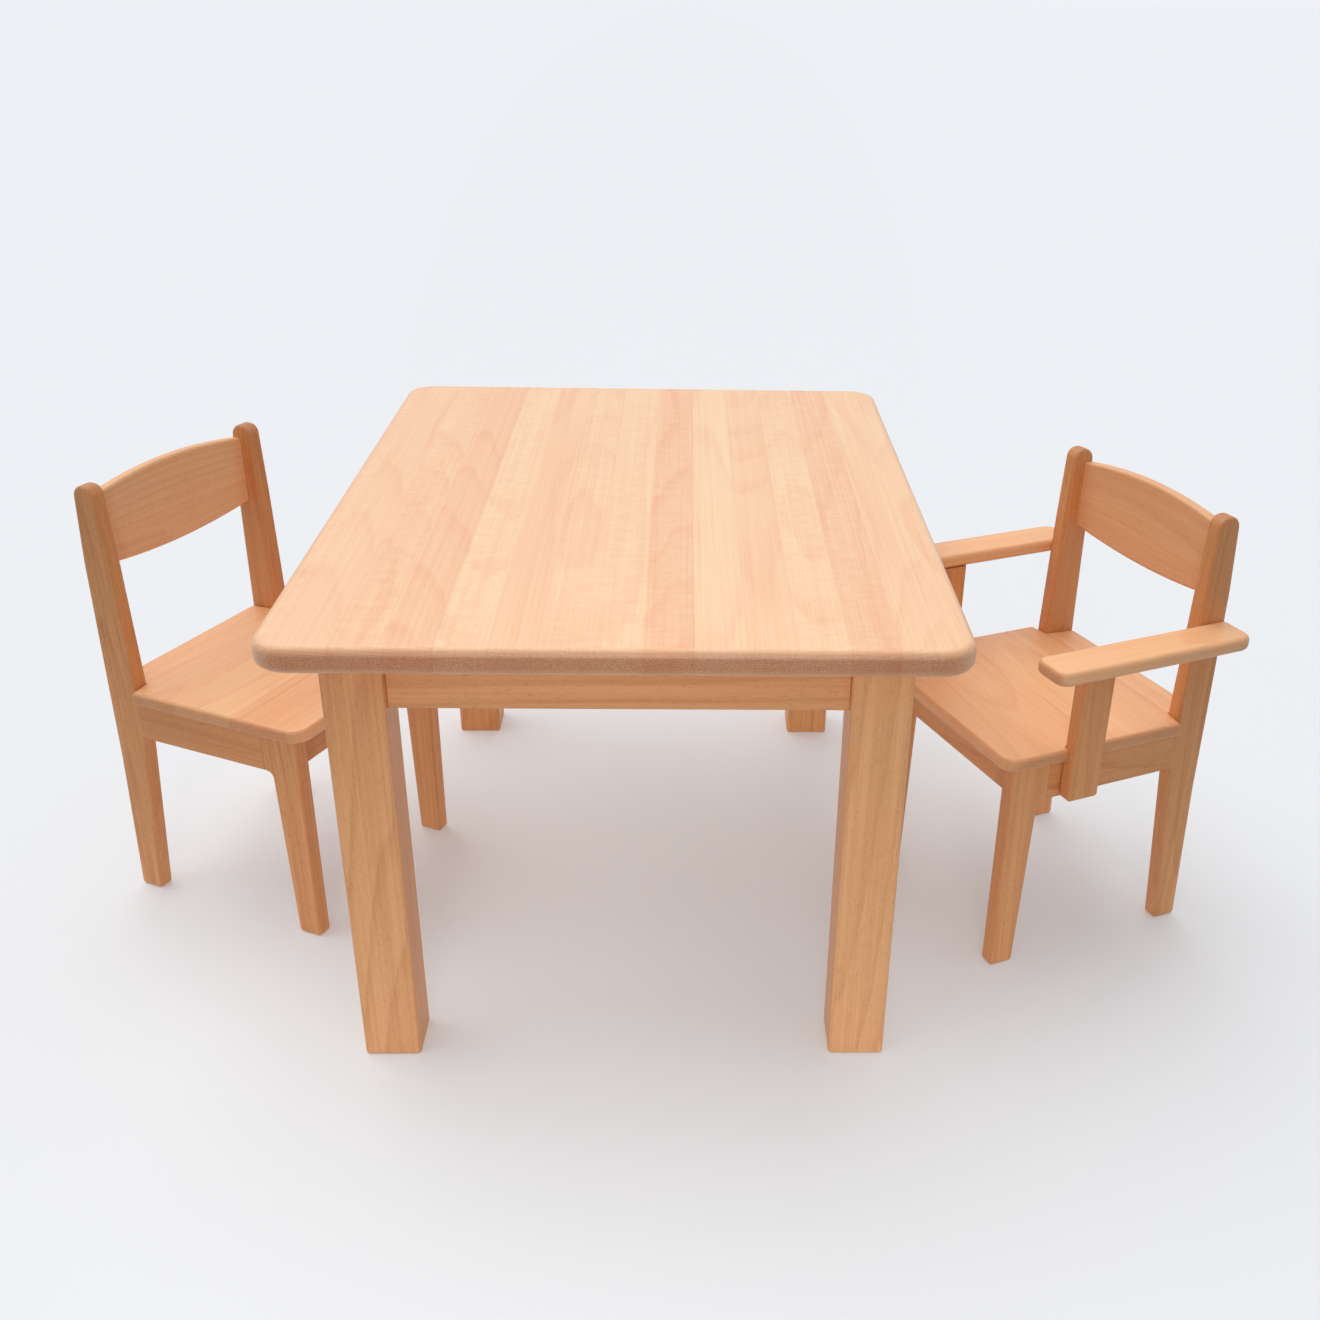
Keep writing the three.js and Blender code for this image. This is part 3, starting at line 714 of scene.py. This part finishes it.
FRONT_LEG = [
    (0.097, 0, 0.004), (0.125, 0, 0.004), (0.127, RAIL_TOP, 0, "slide out"),
    (LEG_BACK, RAIL_TOP, 0, "sharp"), (LEG_BACK, RAIL_LOW, 0, "slide in"),
    (LEG_BACK + 0.0085, RAIL_LOW - 0.0012, 0.007),
]
BACK_LEG = [
    (-0.125, 0, 0.004), (-0.097, 0, 0.004), (-0.0792, RAIL_LOW - 0.003, 0.0035),
    (STILE_FRONT, RAIL_LOW, 0, "slide out"), (STILE_FRONT, SEAT_LOW + 0.003, 0, "sharp"),
    (STILE_FRONT, SEAT_TOP - 0.003, 0), (STILE_FRONT, 0.268, 0.02), (-0.082, 0.400, 0.25),
    (-0.086, 0.481, 0.0105), (-0.110, 0.482, 0.0125), (-0.115, 0.400, 0.3), (-0.117, 0.260, 0.3),
    (-0.118, 0.170, 0.3),
]
SIDE_RAIL = rail_corners(STILE_FRONT + HAIR, LEG_BACK - HAIR, RAIL_LOW, RAIL_TOP)
CROSS_RAIL = rail_corners(HAIR - INNER, INNER - HAIR, RAIL_LOW, RAIL_TOP)


# %% Side frames and cross rails
def side_span(side):
    return (INNER, HALF_WIDTH) if side > 0 else (-HALF_WIDTH, -INNER)


HANDS = {"left": 1, "right": -1}


def chair_frame(body):
    for hand, side in HANDS.items():
        for part, outline, grain in (("front_leg", FRONT_LEG, "zxy"), ("back_leg", BACK_LEG, "zxy"),
                                     ("side_rail", SIDE_RAIL, "xzy")):
            board(f"{body}_{part}_{hand}_wood", body, "xz", outline, side_span(side), FRAME_ROUND, grain,
                  FRAME_BEECH)
    for part, span in (("front_rail", FRONT_RAIL), ("back_rail", BACK_RAIL)):
        board(f"{body}_{part}_wood", body, "yz", CROSS_RAIL, span, FRAME_ROUND, "yzx", FRAME_BEECH)


for body in ("plain_chair", "armchair"):
    chair_frame(body)
print("boards so far:", len(MADE))

# %% [markdown]
# ## The seats
#
# A seat is glued up from staves that run from side to side. It oversails the frame by 8 mm, wraps round
# both stiles at the back, and on the armchair it is notched round the arm posts. The notches stay sharp,
# because there the seat is fitted tight, and the free edges are rounded over.

# %% Seats
SEAT_ROUND = 0.0045
STILE_GAP = 0.0005
POST_BACK, POST_FRONT = 0.031, 0.068
SEAT_JOINT = -0.019


def notch(side):
    """The corners of the cut for an arm post, walked the same way round as the seat."""
    ends = (POST_BACK - HAIR, POST_FRONT + HAIR)
    before, after = ends if side < 0 else ends[::-1]
    free, fitted = side * SEAT_SIDE, side * (HALF_WIDTH + HAIR / 2)
    return [(before, free, 0, "slide out"), (before, fitted, 0, "sharp"),
            (after, fitted, 0, "sharp"), (after, free, 0, "slide in")]


def seat_corners(notched):
    stile, within = STILE_FRONT + STILE_GAP, INNER - STILE_GAP
    return [
        (stile, -SEAT_SIDE, 0.005), *(notch(-1) if notched else ()),
        (SEAT_FRONT, -SEAT_SIDE, 0.020), (SEAT_FRONT, SEAT_SIDE, 0.020),
        *(notch(1) if notched else ()), (stile, SEAT_SIDE, 0.005), (stile, within, 0, "sharp"),
        (SEAT_BACK, within, 0.006), (SEAT_BACK, -within, 0.006),
        (stile, -within, 0, "sharp"),
    ]

for body, joint in (("plain_chair", SEAT_JOINT), ("armchair", SEAT_JOINT - 0.03)):
    board(f"{body}_seat_wood", body, "xy", seat_corners(body == "armchair"), (SEAT_LOW, SEAT_TOP),
          SEAT_ROUND, "yxz", PANEL_BEECH, stave=(joint, SEAT_STAVE), steps=5)

# %% [markdown]
# ## The arms
#
# An armrest is a flat board beside the stile, with larger corners outside than inside. Its post stands on
# the outside of the side rail and reaches just below it. The post's top is butted against the armrest.

# %% Armrests and posts
ARM_UNDER, ARM_TOP = 0.355, 0.370
ARM_FRONT, ARM_REAR = 0.120, -0.114
ARM_OUTER = 0.172
ARM_ROUND = 0.0052
POST_BOTTOM = 0.203
POST_START = HALF_WIDTH + HAIR

for hand, side in HANDS.items():
    outline = [(ARM_REAR, POST_START, 0.006), (ARM_FRONT, POST_START, 0.0105),
               (ARM_FRONT, ARM_OUTER, 0.0125), (ARM_REAR, ARM_OUTER, 0.015)]
    if side < 0:
        outline = [(x, -y, radius) for x, y, radius in reversed(outline)]
    board(f"armchair_armrest_{hand}_wood", "armchair", "xy", outline, (ARM_UNDER, ARM_TOP), ARM_ROUND,
          "xyz", PANEL_BEECH, steps=5)
    span = sorted((side * POST_START, side * (POST_START + BOARD)))
    outline = [(POST_BACK, POST_BOTTOM, 0.004), (POST_FRONT, POST_BOTTOM, 0.004),
               (POST_FRONT, ARM_UNDER - HAIR, 0, "slide out"), (POST_BACK, ARM_UNDER - HAIR, 0, "slide in")]
    board(f"armchair_arm_post_{hand}_wood", "armchair", "xz", outline, span, FRAME_ROUND, "zxy",
          FRAME_BEECH)

# %% [markdown]
# ## The back slats, by rule
#
# A slat is taller in the middle than at its ends, by the same curve above and below, and it is bowed back a
# little. Each of those is a rule of how far a point is from the middle, so the slat is a Geometry Nodes
# tree with its sizes as named inputs: a rounded section is swept along a straight line, and then every
# point is moved by the rule. The tree also stores the grain and board attributes before it ends.


# %% Geometry tree helpers
def geometry_tree(name, inputs):
    tree = bpy.data.node_groups.new(name, "GeometryNodeTree")
    sockets(tree, "INPUT", {"Geometry": "Geometry"} | inputs)
    sockets(tree, "OUTPUT", {"Geometry": "Geometry"})
    return tree, node(tree, "NodeGroupInput").outputs


def close_tree(tree, geometry, material):
    whole = form(tree, "RealizeInstances", {"Geometry": geometry})
    coated = form(tree, "SetMaterial", {"Geometry": whole, "Material": material})
    node(tree, "NodeGroupOutput", {"Geometry": coated})


def store(tree, geometry, name, value):
    return form(tree, "StoreNamedAttribute", {
        "Geometry": geometry, "Name": name, "Value": value}, data_type="FLOAT_VECTOR", domain="POINT")


def sweep(tree, curve, section):
    return form(tree, "CurveToMesh", {
        "Curve": curve, "Profile Curve": section, "Fill Caps": True})


def run_tree(name, tree, values, start=None):
    """Sets the tree's inputs by their identifiers, evaluates it once and returns the plain mesh."""
    start = start or bpy.data.meshes.new(name + "_start")
    carrier = put(name + "_carrier", start)
    modifier = carrier.modifiers.new("tree", "NODES")
    modifier.node_group = tree
    for item in tree.interface.items_tree:
        if item.in_out == "INPUT" and item.name in values:
            modifier[item.identifier] = values[item.name]
    bpy.context.view_layer.update()
    evaluated = carrier.evaluated_get(bpy.context.evaluated_depsgraph_get())
    mesh = bpy.data.meshes.new_from_object(evaluated)
    mesh.name = name
    bpy.data.objects.remove(carrier)
    bpy.data.meshes.remove(start)
    return mesh


# %% The slat tree
def slat_tree():
    tree, given = geometry_tree("back slat", {
        "Length": 0.2, "Thickness": 0.012, "End Height": 0.075, "Bulge": 0.009, "Bow": 0.004,
        "Round": 0.003, "Number": 1.0,
    })
    reach = times(tree, given["Length"], 0.5)
    half_height = times(tree, given["End Height"], 0.5)
    line = form(tree, "CurvePrimitiveLine", {
        "Start": vector(tree, 0.0, times(tree, reach, -1.0), 0.0), "End": vector(tree, 0.0, reach, 0.0)})
    line = form(tree, "ResampleCurve", {"Curve": line, "Count": 37})
    section = form(tree, "CurvePrimitiveQuadrilateral", {
        "Width": given["Thickness"], "Height": given["End Height"]})
    section = form(tree, "FilletCurve", {
        "Curve": section, "Radius": given["Round"], "Count": 5}, mode="POLY")
    x, y, z = split(tree, form(tree, "InputPosition"))
    share = calc(tree, "DIVIDE", y, reach)
    middle = minus(tree, 1.0, times(tree, share, share))
    taller = calc(tree, "DIVIDE", given["Bulge"], half_height)
    taller = madd(tree, times(tree, middle, taller), z, z)
    bowed = minus(tree, x, times(tree, middle, given["Bow"]))
    rim = minus(tree, half_height, calc(tree, "ABSOLUTE", z))
    # How near a point is to the rounded rim: the mask for the painted shade and polish of the edges.
    edge_shade_and_wear = rescale(tree, rim, 0.0, given["Round"], 1.0, 0.0)
    count = madd(tree, z, 1 / SINGLE_BOARD, 0.5)
    geometry = sweep(tree, line, section)
    geometry = store(tree, geometry, "board", vector(tree, given["Number"], count, edge_shade_and_wear))
    geometry = store(tree, geometry, "grain", vector(tree, y, z, x))
    geometry = form(tree, "SetPosition", {
        "Geometry": geometry, "Position": vector(tree, bowed, y, taller)})
    close_tree(tree, geometry, PANEL_BEECH)
    return tree


SLAT = {"Length": 2 * (INNER - HAIR), "Thickness": 0.012, "End Height": 0.075, "Bulge": 0.009,
        "Bow": 0.004, "Round": 0.0034}
SLAT_FRONT, SLAT_MIDDLE = -0.099, 0.4295
BACK_SLAT = slat_tree()
for body in ("plain_chair", "armchair"):
    mesh = run_tree(f"{body}_back_slat_wood", BACK_SLAT, SLAT | {"Number": float(next(board_numbers))})
    mesh.transform(Matrix.Translation((SLAT_FRONT - SLAT["Thickness"] / 2, 0, SLAT_MIDDLE)))
    rework(mesh, merge=1e-6)
    size = [max(v.co[i] for v in mesh.vertices) - min(v.co[i] for v in mesh.vertices) for i in range(3)]
    print(body, "slat", [round(s, 4) for s in size], len(mesh.polygons), "faces")
    piece = finish_piece(f"{body}_back_slat_wood", body, mesh, PANEL_BEECH,
                         [f"{body}_back_slat"])
    piece.modifiers.new("flat faces", "WEIGHTED_NORMAL").keep_sharp = True

# %% [markdown]
# ## Screws and bolts
#
# The fastenings sit where a hand would feel them: under the top, and on the inner faces of the armchair.
# They repeat, so one tree makes a countersunk screw and puts a copy on each point of a start mesh, turned
# along that point's "aim". Its thread is a helix swept with a small section. A second tree does the same
# for the hexagon bolts with their washers. Each set becomes one mesh for its body.

# %% The steel
def zinc_steel():
    material, tree, shader = new_material("zinc plated steel")
    at = object_place(tree)
    cloud = noise(tree, at, 420.0, 3.0)
    scratch = scaled_noise(tree, at, (900, 900, 5200))
    edge = node(tree, "ShaderNodeGroup", {
        "Color": mix(tree, cloud, (0.50, 0.52, 0.56, 1), (0.70, 0.70, 0.68, 1)),
        "Roughness": madd(tree, scratch, 0.22, 0.24), "Shade And Wear Color": (0.85, 0.85, 0.86, 1),
    }, node_tree=EDGE_SHADE_AND_WEAR).outputs
    plug(tree, shader, {
        "Base Color": edge["Color"], "Roughness": edge["Roughness"],
        "Normal": relief(tree, scratch, 0.3, 0.00005), "Metallic": 1.0,
    })
    return material


ZINC = zinc_steel()


# %% Parts of a fastening
def along_aim(tree, points, instance):
    aim = node(tree, "GeometryNodeInputNamedAttribute", {"Name": "aim"}, data_type="FLOAT_VECTOR")
    turned = out(tree, "FunctionNodeAlignRotationToVector", {"Vector": aim.outputs[0]}, axis="Z")
    return form(tree, "InstanceOnPoints", {
        "Points": points, "Instance": instance, "Rotation": turned})


def moved(tree, geometry, height, turn=(0, 0, 0)):
    return form(tree, "Transform", {
        "Geometry": geometry, "Translation": vector(tree, 0.0, 0.0, height), "Rotation": turn})


def join(tree, *parts):
    made = node(tree, "GeometryNodeJoinGeometry")
    for part in parts:
        tree.links.new(part, made.inputs[0])
    return made.outputs[0]


def cone(tree, sides, bottom, top, depth):
    return form(tree, "MeshCone", {
        "Vertices": sides, "Radius Top": top, "Radius Bottom": bottom, "Depth": depth})


def rod(tree, sides, radius, depth, middle):
    made = form(tree, "MeshCylinder", {"Vertices": sides, "Radius": radius, "Depth": depth})
    return moved(tree, made, middle)


# %% The screw tree
SLOT_WIDTH = 0.0009
THREAD_DEPTH = 0.0004
TIP_RADIUS = 0.0002


def screw_tree():
    tree, given = geometry_tree("countersunk screw", {
        "Length": 0.03, "Shank": 0.0016, "Head": 0.004, "Head Height": 0.0025, "Pitch": 0.0018})
    shank, head_height = given["Shank"], given["Head Height"]
    slot = vector(tree, times(tree, given["Head"], 1.1), SLOT_WIDTH, head_height)
    slot = form(tree, "MeshCube", {"Size": slot})
    sunk = times(tree, head_height, 0.15)
    crossed = join(tree, *(moved(tree, slot, sunk, (0, 0, angle)) for angle in (0.0, pi / 2)))
    head = form(tree, "MeshBoolean", {
        "Mesh 1": cone(tree, 28, given["Head"], shank, head_height), "Mesh 2": crossed,
    }, operation="DIFFERENCE")
    point = times(tree, shank, 3.0)
    shoulder = minus(tree, given["Length"], point)  # where the straight part ends
    straight = minus(tree, shoulder, head_height)
    bar = rod(tree, 16, shank, straight, madd(tree, straight, 0.5, head_height))
    tip = moved(tree, cone(tree, 16, shank, TIP_RADIUS, point), shoulder)
    threaded = times(tree, straight, 0.7)
    helix = form(tree, "CurveSpiral", {
        "Resolution": 14, "Rotations": calc(tree, "DIVIDE", threaded, given["Pitch"]),
        "Start Radius": shank, "End Radius": shank, "Height": threaded})
    section = form(tree, "CurvePrimitiveCircle", {"Resolution": 4, "Radius": THREAD_DEPTH})
    thread = moved(tree, sweep(tree, helix, section), minus(tree, shoulder, threaded))
    close_tree(tree, along_aim(tree, given["Geometry"], join(tree, head, bar, tip, thread)), ZINC)
    return tree


# %% The bolt tree
DOME_HEIGHT, DOME_SINK = 0.0006, 0.0001


def bolt_tree():
    tree, given = geometry_tree("hexagon bolt", {
        "Length": 0.05, "Shank": 0.003, "Head": 0.0065, "Head Height": 0.005, "Washer": 0.009,
        "Washer Height": 0.0015})
    length, head, head_height = given["Length"], given["Head"], given["Head Height"]
    washer = given["Washer Height"]
    bar = rod(tree, 24, given["Shank"], length, times(tree, length, 0.5))
    ring = rod(tree, 32, given["Washer"], washer, times(tree, washer, -0.5))
    hexagon = rod(tree, 6, head, head_height, minus(tree, times(tree, head_height, -0.5), washer))
    top = minus(tree, plus(tree, washer, head_height), DOME_SINK)
    dome = cone(tree, 24, times(tree, head, 0.84), times(tree, head, 0.74), DOME_HEIGHT)
    dome = moved(tree, dome, times(tree, top, -1.0), (pi, 0, 0))
    close_tree(tree, along_aim(tree, given["Geometry"], join(tree, bar, ring, hexagon, dome)), ZINC)
    return tree

# %% [markdown]
# A start mesh holds only points, each with its aim. The table's points come from the boxes of the CAD
# screws and bolts. The armchair's are in the chair's own coordinates, at the middle of the stile and the
# post, and aim outwards.

# %% Place the fastenings
STEEL_WEAR = 0.4


def start_mesh(name, points):
    mesh = bpy.data.meshes.new(name)
    mesh.from_pydata([p for p, _ in points], [], [])
    aims = mesh.attributes.new("aim", "FLOAT_VECTOR", "POINT")
    for i, (_, aim) in enumerate(points):
        aims.data[i].vector = aim
    return mesh

def fastenings(name, body, tree, values, points, stands_for):
    mesh = run_tree(name, tree, values, start_mesh(name + "_points", points))
    for attribute in [a for a in mesh.attributes if a.name == "aim"]:
        mesh.attributes.remove(attribute)
    boards = mesh.attributes.new("board", "FLOAT_VECTOR", "POINT")
    boards.data.foreach_set("vector", [0.0, 0.0, STEEL_WEAR] * len(mesh.vertices))
    print(name, len(points), "copies,", len(mesh.polygons), "faces")
    return finish_piece(name, body, mesh, ZINC, stands_for, smooth_angle=30)


SCREW, BOLT = screw_tree(), bolt_tree()
points = []
for side in SIDES:
    low, high = own_box(f"top_screw_{side}")
    points.append((((low.x + high.x) / 2, (low.y + high.y) / 2, low.z), (0, 0, 1)))
fastenings("top_screws", "table", SCREW, {"Length": high.z - low.z}, points,
           [f"top_screw_{side}" for side in SIDES])

BLOCK_BACK = 0.0243  # from the leg's inner corner to the back of its corner block
BOLT_LENGTH = 0.0503
points = []
for corner in CORNERS:
    low, high = own_box(f"table_leg_{corner}")
    bolt_low, bolt_high = own_box(f"leg_bolt_{corner}")
    side_x, side_y = (1 if value > 0 else -1 for value in (low.x, low.y))
    outward = Vector((side_x, side_y, 0)).normalized()
    inner = Vector((low.x if side_x > 0 else high.x, low.y if side_y > 0 else high.y, 0))
    inner.z = (bolt_low.z + bolt_high.z) / 2
    points.append((inner - outward * BLOCK_BACK, outward))
fastenings("leg_bolts", "table", BOLT, {"Length": BOLT_LENGTH}, points, [f"leg_bolt_{c}" for c in CORNERS])

STILE_MIDDLE, POST_MIDDLE = -0.099, (POST_BACK + POST_FRONT) / 2
ARM_SCREW, POST_SCREW = 0.042, 0.030
POST_SCREW_HEIGHTS = (0.213, 0.233)
fastenings("arm_screws", "armchair", SCREW, {"Length": ARM_SCREW},
           [((STILE_MIDDLE, side * (INNER + HAIR), ARM_TOP - 0.0075), (0, side, 0)) for side in (1, -1)],
           [f"armchair_arm_screw_{hand}" for hand in HANDS])
fastenings("post_screws", "armchair", SCREW, {"Length": POST_SCREW},
           [((POST_MIDDLE, side * (INNER + HAIR), height), (0, side, 0))
            for side in (1, -1) for height in POST_SCREW_HEIGHTS],
           [f"armchair_post_screw_{hand}_{level}" for hand in HANDS for level in ("lower", "upper")])

# %% [markdown]
# ## The dowels
#
# A dowel pins each arm post to its armrest. It is hidden and its CAD shape is right, so it only gets a raw
# beech finish, duller than the oiled boards, that reads Object coordinates.


# %% Dowels
def raw_beech():
    material, tree, shader = new_material("raw beech dowel")
    lines = scaled_noise(tree, object_place(tree), (900, 900, 40), 3.0)
    plug(tree, shader, {
        "Base Color": mix(tree, lines, (0.74, 0.44, 0.24, 1), (0.56, 0.30, 0.15, 1)),
        "Roughness": madd(tree, lines, 0.2, 0.55), "Normal": relief(tree, lines, 0.3, 0.0002),
    })
    return material


RAW_BEECH = raw_beech()
for hand in HANDS:
    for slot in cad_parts[f"armchair_post_dowel_{hand}"].material_slots:
        slot.material = RAW_BEECH

# %% [markdown]
# ## Floor, camera and light
#
# The set stands on a plain pale floor that runs back far enough to be the backdrop too. The floor also
# glows
# faintly: a painted glow that lifts the shadows on it. Away from the set, light that bounces sees a darker
# floor, as in a room, so the undersides keep their shade. The camera looks down at the set from its front,
# with a slightly long lens.

# %% Floor
FLOOR_REACH = 45.0
ROOM_START, ROOM_FULL = 0.6, 1.1  # how far from the middle the darker floor begins and is complete
floor_mesh = bpy.data.meshes.new("floor")
floor_mesh.from_pydata([(x * FLOOR_REACH, y * FLOOR_REACH, -HAIR) for x, y in
                        ((-1, -1), (1, -1), (1, 1), (-1, 1))], [], [(0, 1, 2, 3)])
floor = put("floor", floor_mesh)
paper, tree, paper_shader = new_material("pale floor")
# The floor's emission is a painted glow: it lifts the shadows on the floor evenly and lights the
# undersides.
plug(tree, paper_shader, {
    "Base Color": (0.70, 0.725, 0.75, 1), "Roughness": 0.9, "Specular IOR Level": 0.0,
    "Emission Color": (0.96, 0.97, 0.995, 1), "Emission Strength": 0.2,
})
dark_room = out(tree, "ShaderNodeBsdfDiffuse", {"Color": (0.12, 0.12, 0.12, 1)})
away = node(tree, "ShaderNodeVectorMath", {0: object_place(tree)}, operation="LENGTH").outputs["Value"]
away = rescale(tree, away, ROOM_START, ROOM_FULL)
bounce = times(tree, away, node(tree, "ShaderNodeLightPath").outputs["Is Diffuse Ray"])
sheet = out(tree, "ShaderNodeMixShader", {0: bounce, 1: paper_shader.outputs[0], 2: dark_room})
plug(tree, tree.nodes["Material Output"], {"Surface": sheet})
floor_mesh.materials.append(paper)

# %% Camera
camera = put("camera", bpy.data.cameras.new("camera"))
PAN, TILT, ROLL = -0.03558, -0.48556, 0.02196
CAMERA_PLACE = (table_middle.x + 0.05544, -1.43642, 0.95464)
camera.matrix_world = (
    Matrix.Translation(CAMERA_PLACE)
    @ Matrix.Rotation(PAN, 4, "Z") @ Matrix.Rotation(pi / 2 + TILT, 4, "X") @ Matrix.Rotation(ROLL, 4, "Z")
)
camera.data.sensor_width = 36
camera.data.lens = 38.675
camera.data.shift_x, camera.data.shift_y = -0.0518, 0.0373
bpy.context.scene.camera = camera
bpy.context.scene.view_settings.view_transform = "Standard"

# %% [markdown]
# The light is soft and mostly from above: a broad sun for the gentle shadows, and a pale surround that
# fills them, a little more from the left front. A weak soft box lifts the fronts of the table's legs.


# %% Light
def shine(name, kind, way, **settings):
    made = put(name, bpy.data.lights.new(name, kind))
    for key, value in settings.items():
        setattr(made.data, key, value)
    made.rotation_euler = way.to_track_quat("-Z", "Y").to_euler()
    return made


SUN_WAY = Vector((0.28, -0.30, -1.0))
shine("sun", "SUN", SUN_WAY, energy=1.5, angle=radians(64), color=(1.0, 0.985, 0.965))
BOX_PLACE, BOX_TARGET = Vector((table_middle.x, -1.9, 0.85)), Vector((table_middle.x, -0.35, 0.24))
soft_box = shine("soft box", "AREA", BOX_TARGET - BOX_PLACE, energy=0.8, size=0.8, spread=radians(42),
                 color=(1.0, 0.985, 0.96))
soft_box.location = BOX_PLACE

LEFT_FRONT = (-0.45, -0.89, 0)
OVERHEAD, ALL_ROUND, FROM_LEFT = 0.62, 0.06, 0.10
world = bpy.data.worlds.new("pale surround")
world.use_nodes = True
tree = world.node_tree
tree.nodes.clear()
seen = out(tree, "ShaderNodeBackground", {"Color": (0.871, 0.879, 0.922, 1), "Strength": 1.0})
way = node(tree, "ShaderNodeTexCoord").outputs["Generated"]
height = calc(tree, "MAXIMUM", split(tree, way)[2], 0.0)
leftward = node(tree, "ShaderNodeVectorMath", {0: way, 1: LEFT_FRONT}, operation="DOT_PRODUCT")
leftward = calc(tree, "MAXIMUM", leftward.outputs["Value"], 0.0)
strength = madd(tree, height, OVERHEAD, ALL_ROUND)
strength = madd(tree, leftward, FROM_LEFT, strength)
fill = out(tree, "ShaderNodeBackground", {"Color": (0.96, 0.975, 1.0, 1), "Strength": strength})
ray = node(tree, "ShaderNodeLightPath").outputs["Is Diffuse Ray"]
either = out(tree, "ShaderNodeMixShader", {0: ray, 1: seen, 2: fill})
node(tree, "ShaderNodeOutputWorld", {"Surface": either})
bpy.context.scene.world = world

# %% [markdown]
# ## The count
#
# The finished set's pieces and faces are counted and printed.

# %% Count of pieces and faces
print(len(MADE), "pieces,", sum(len(p.data.polygons) for p in MADE), "faces")
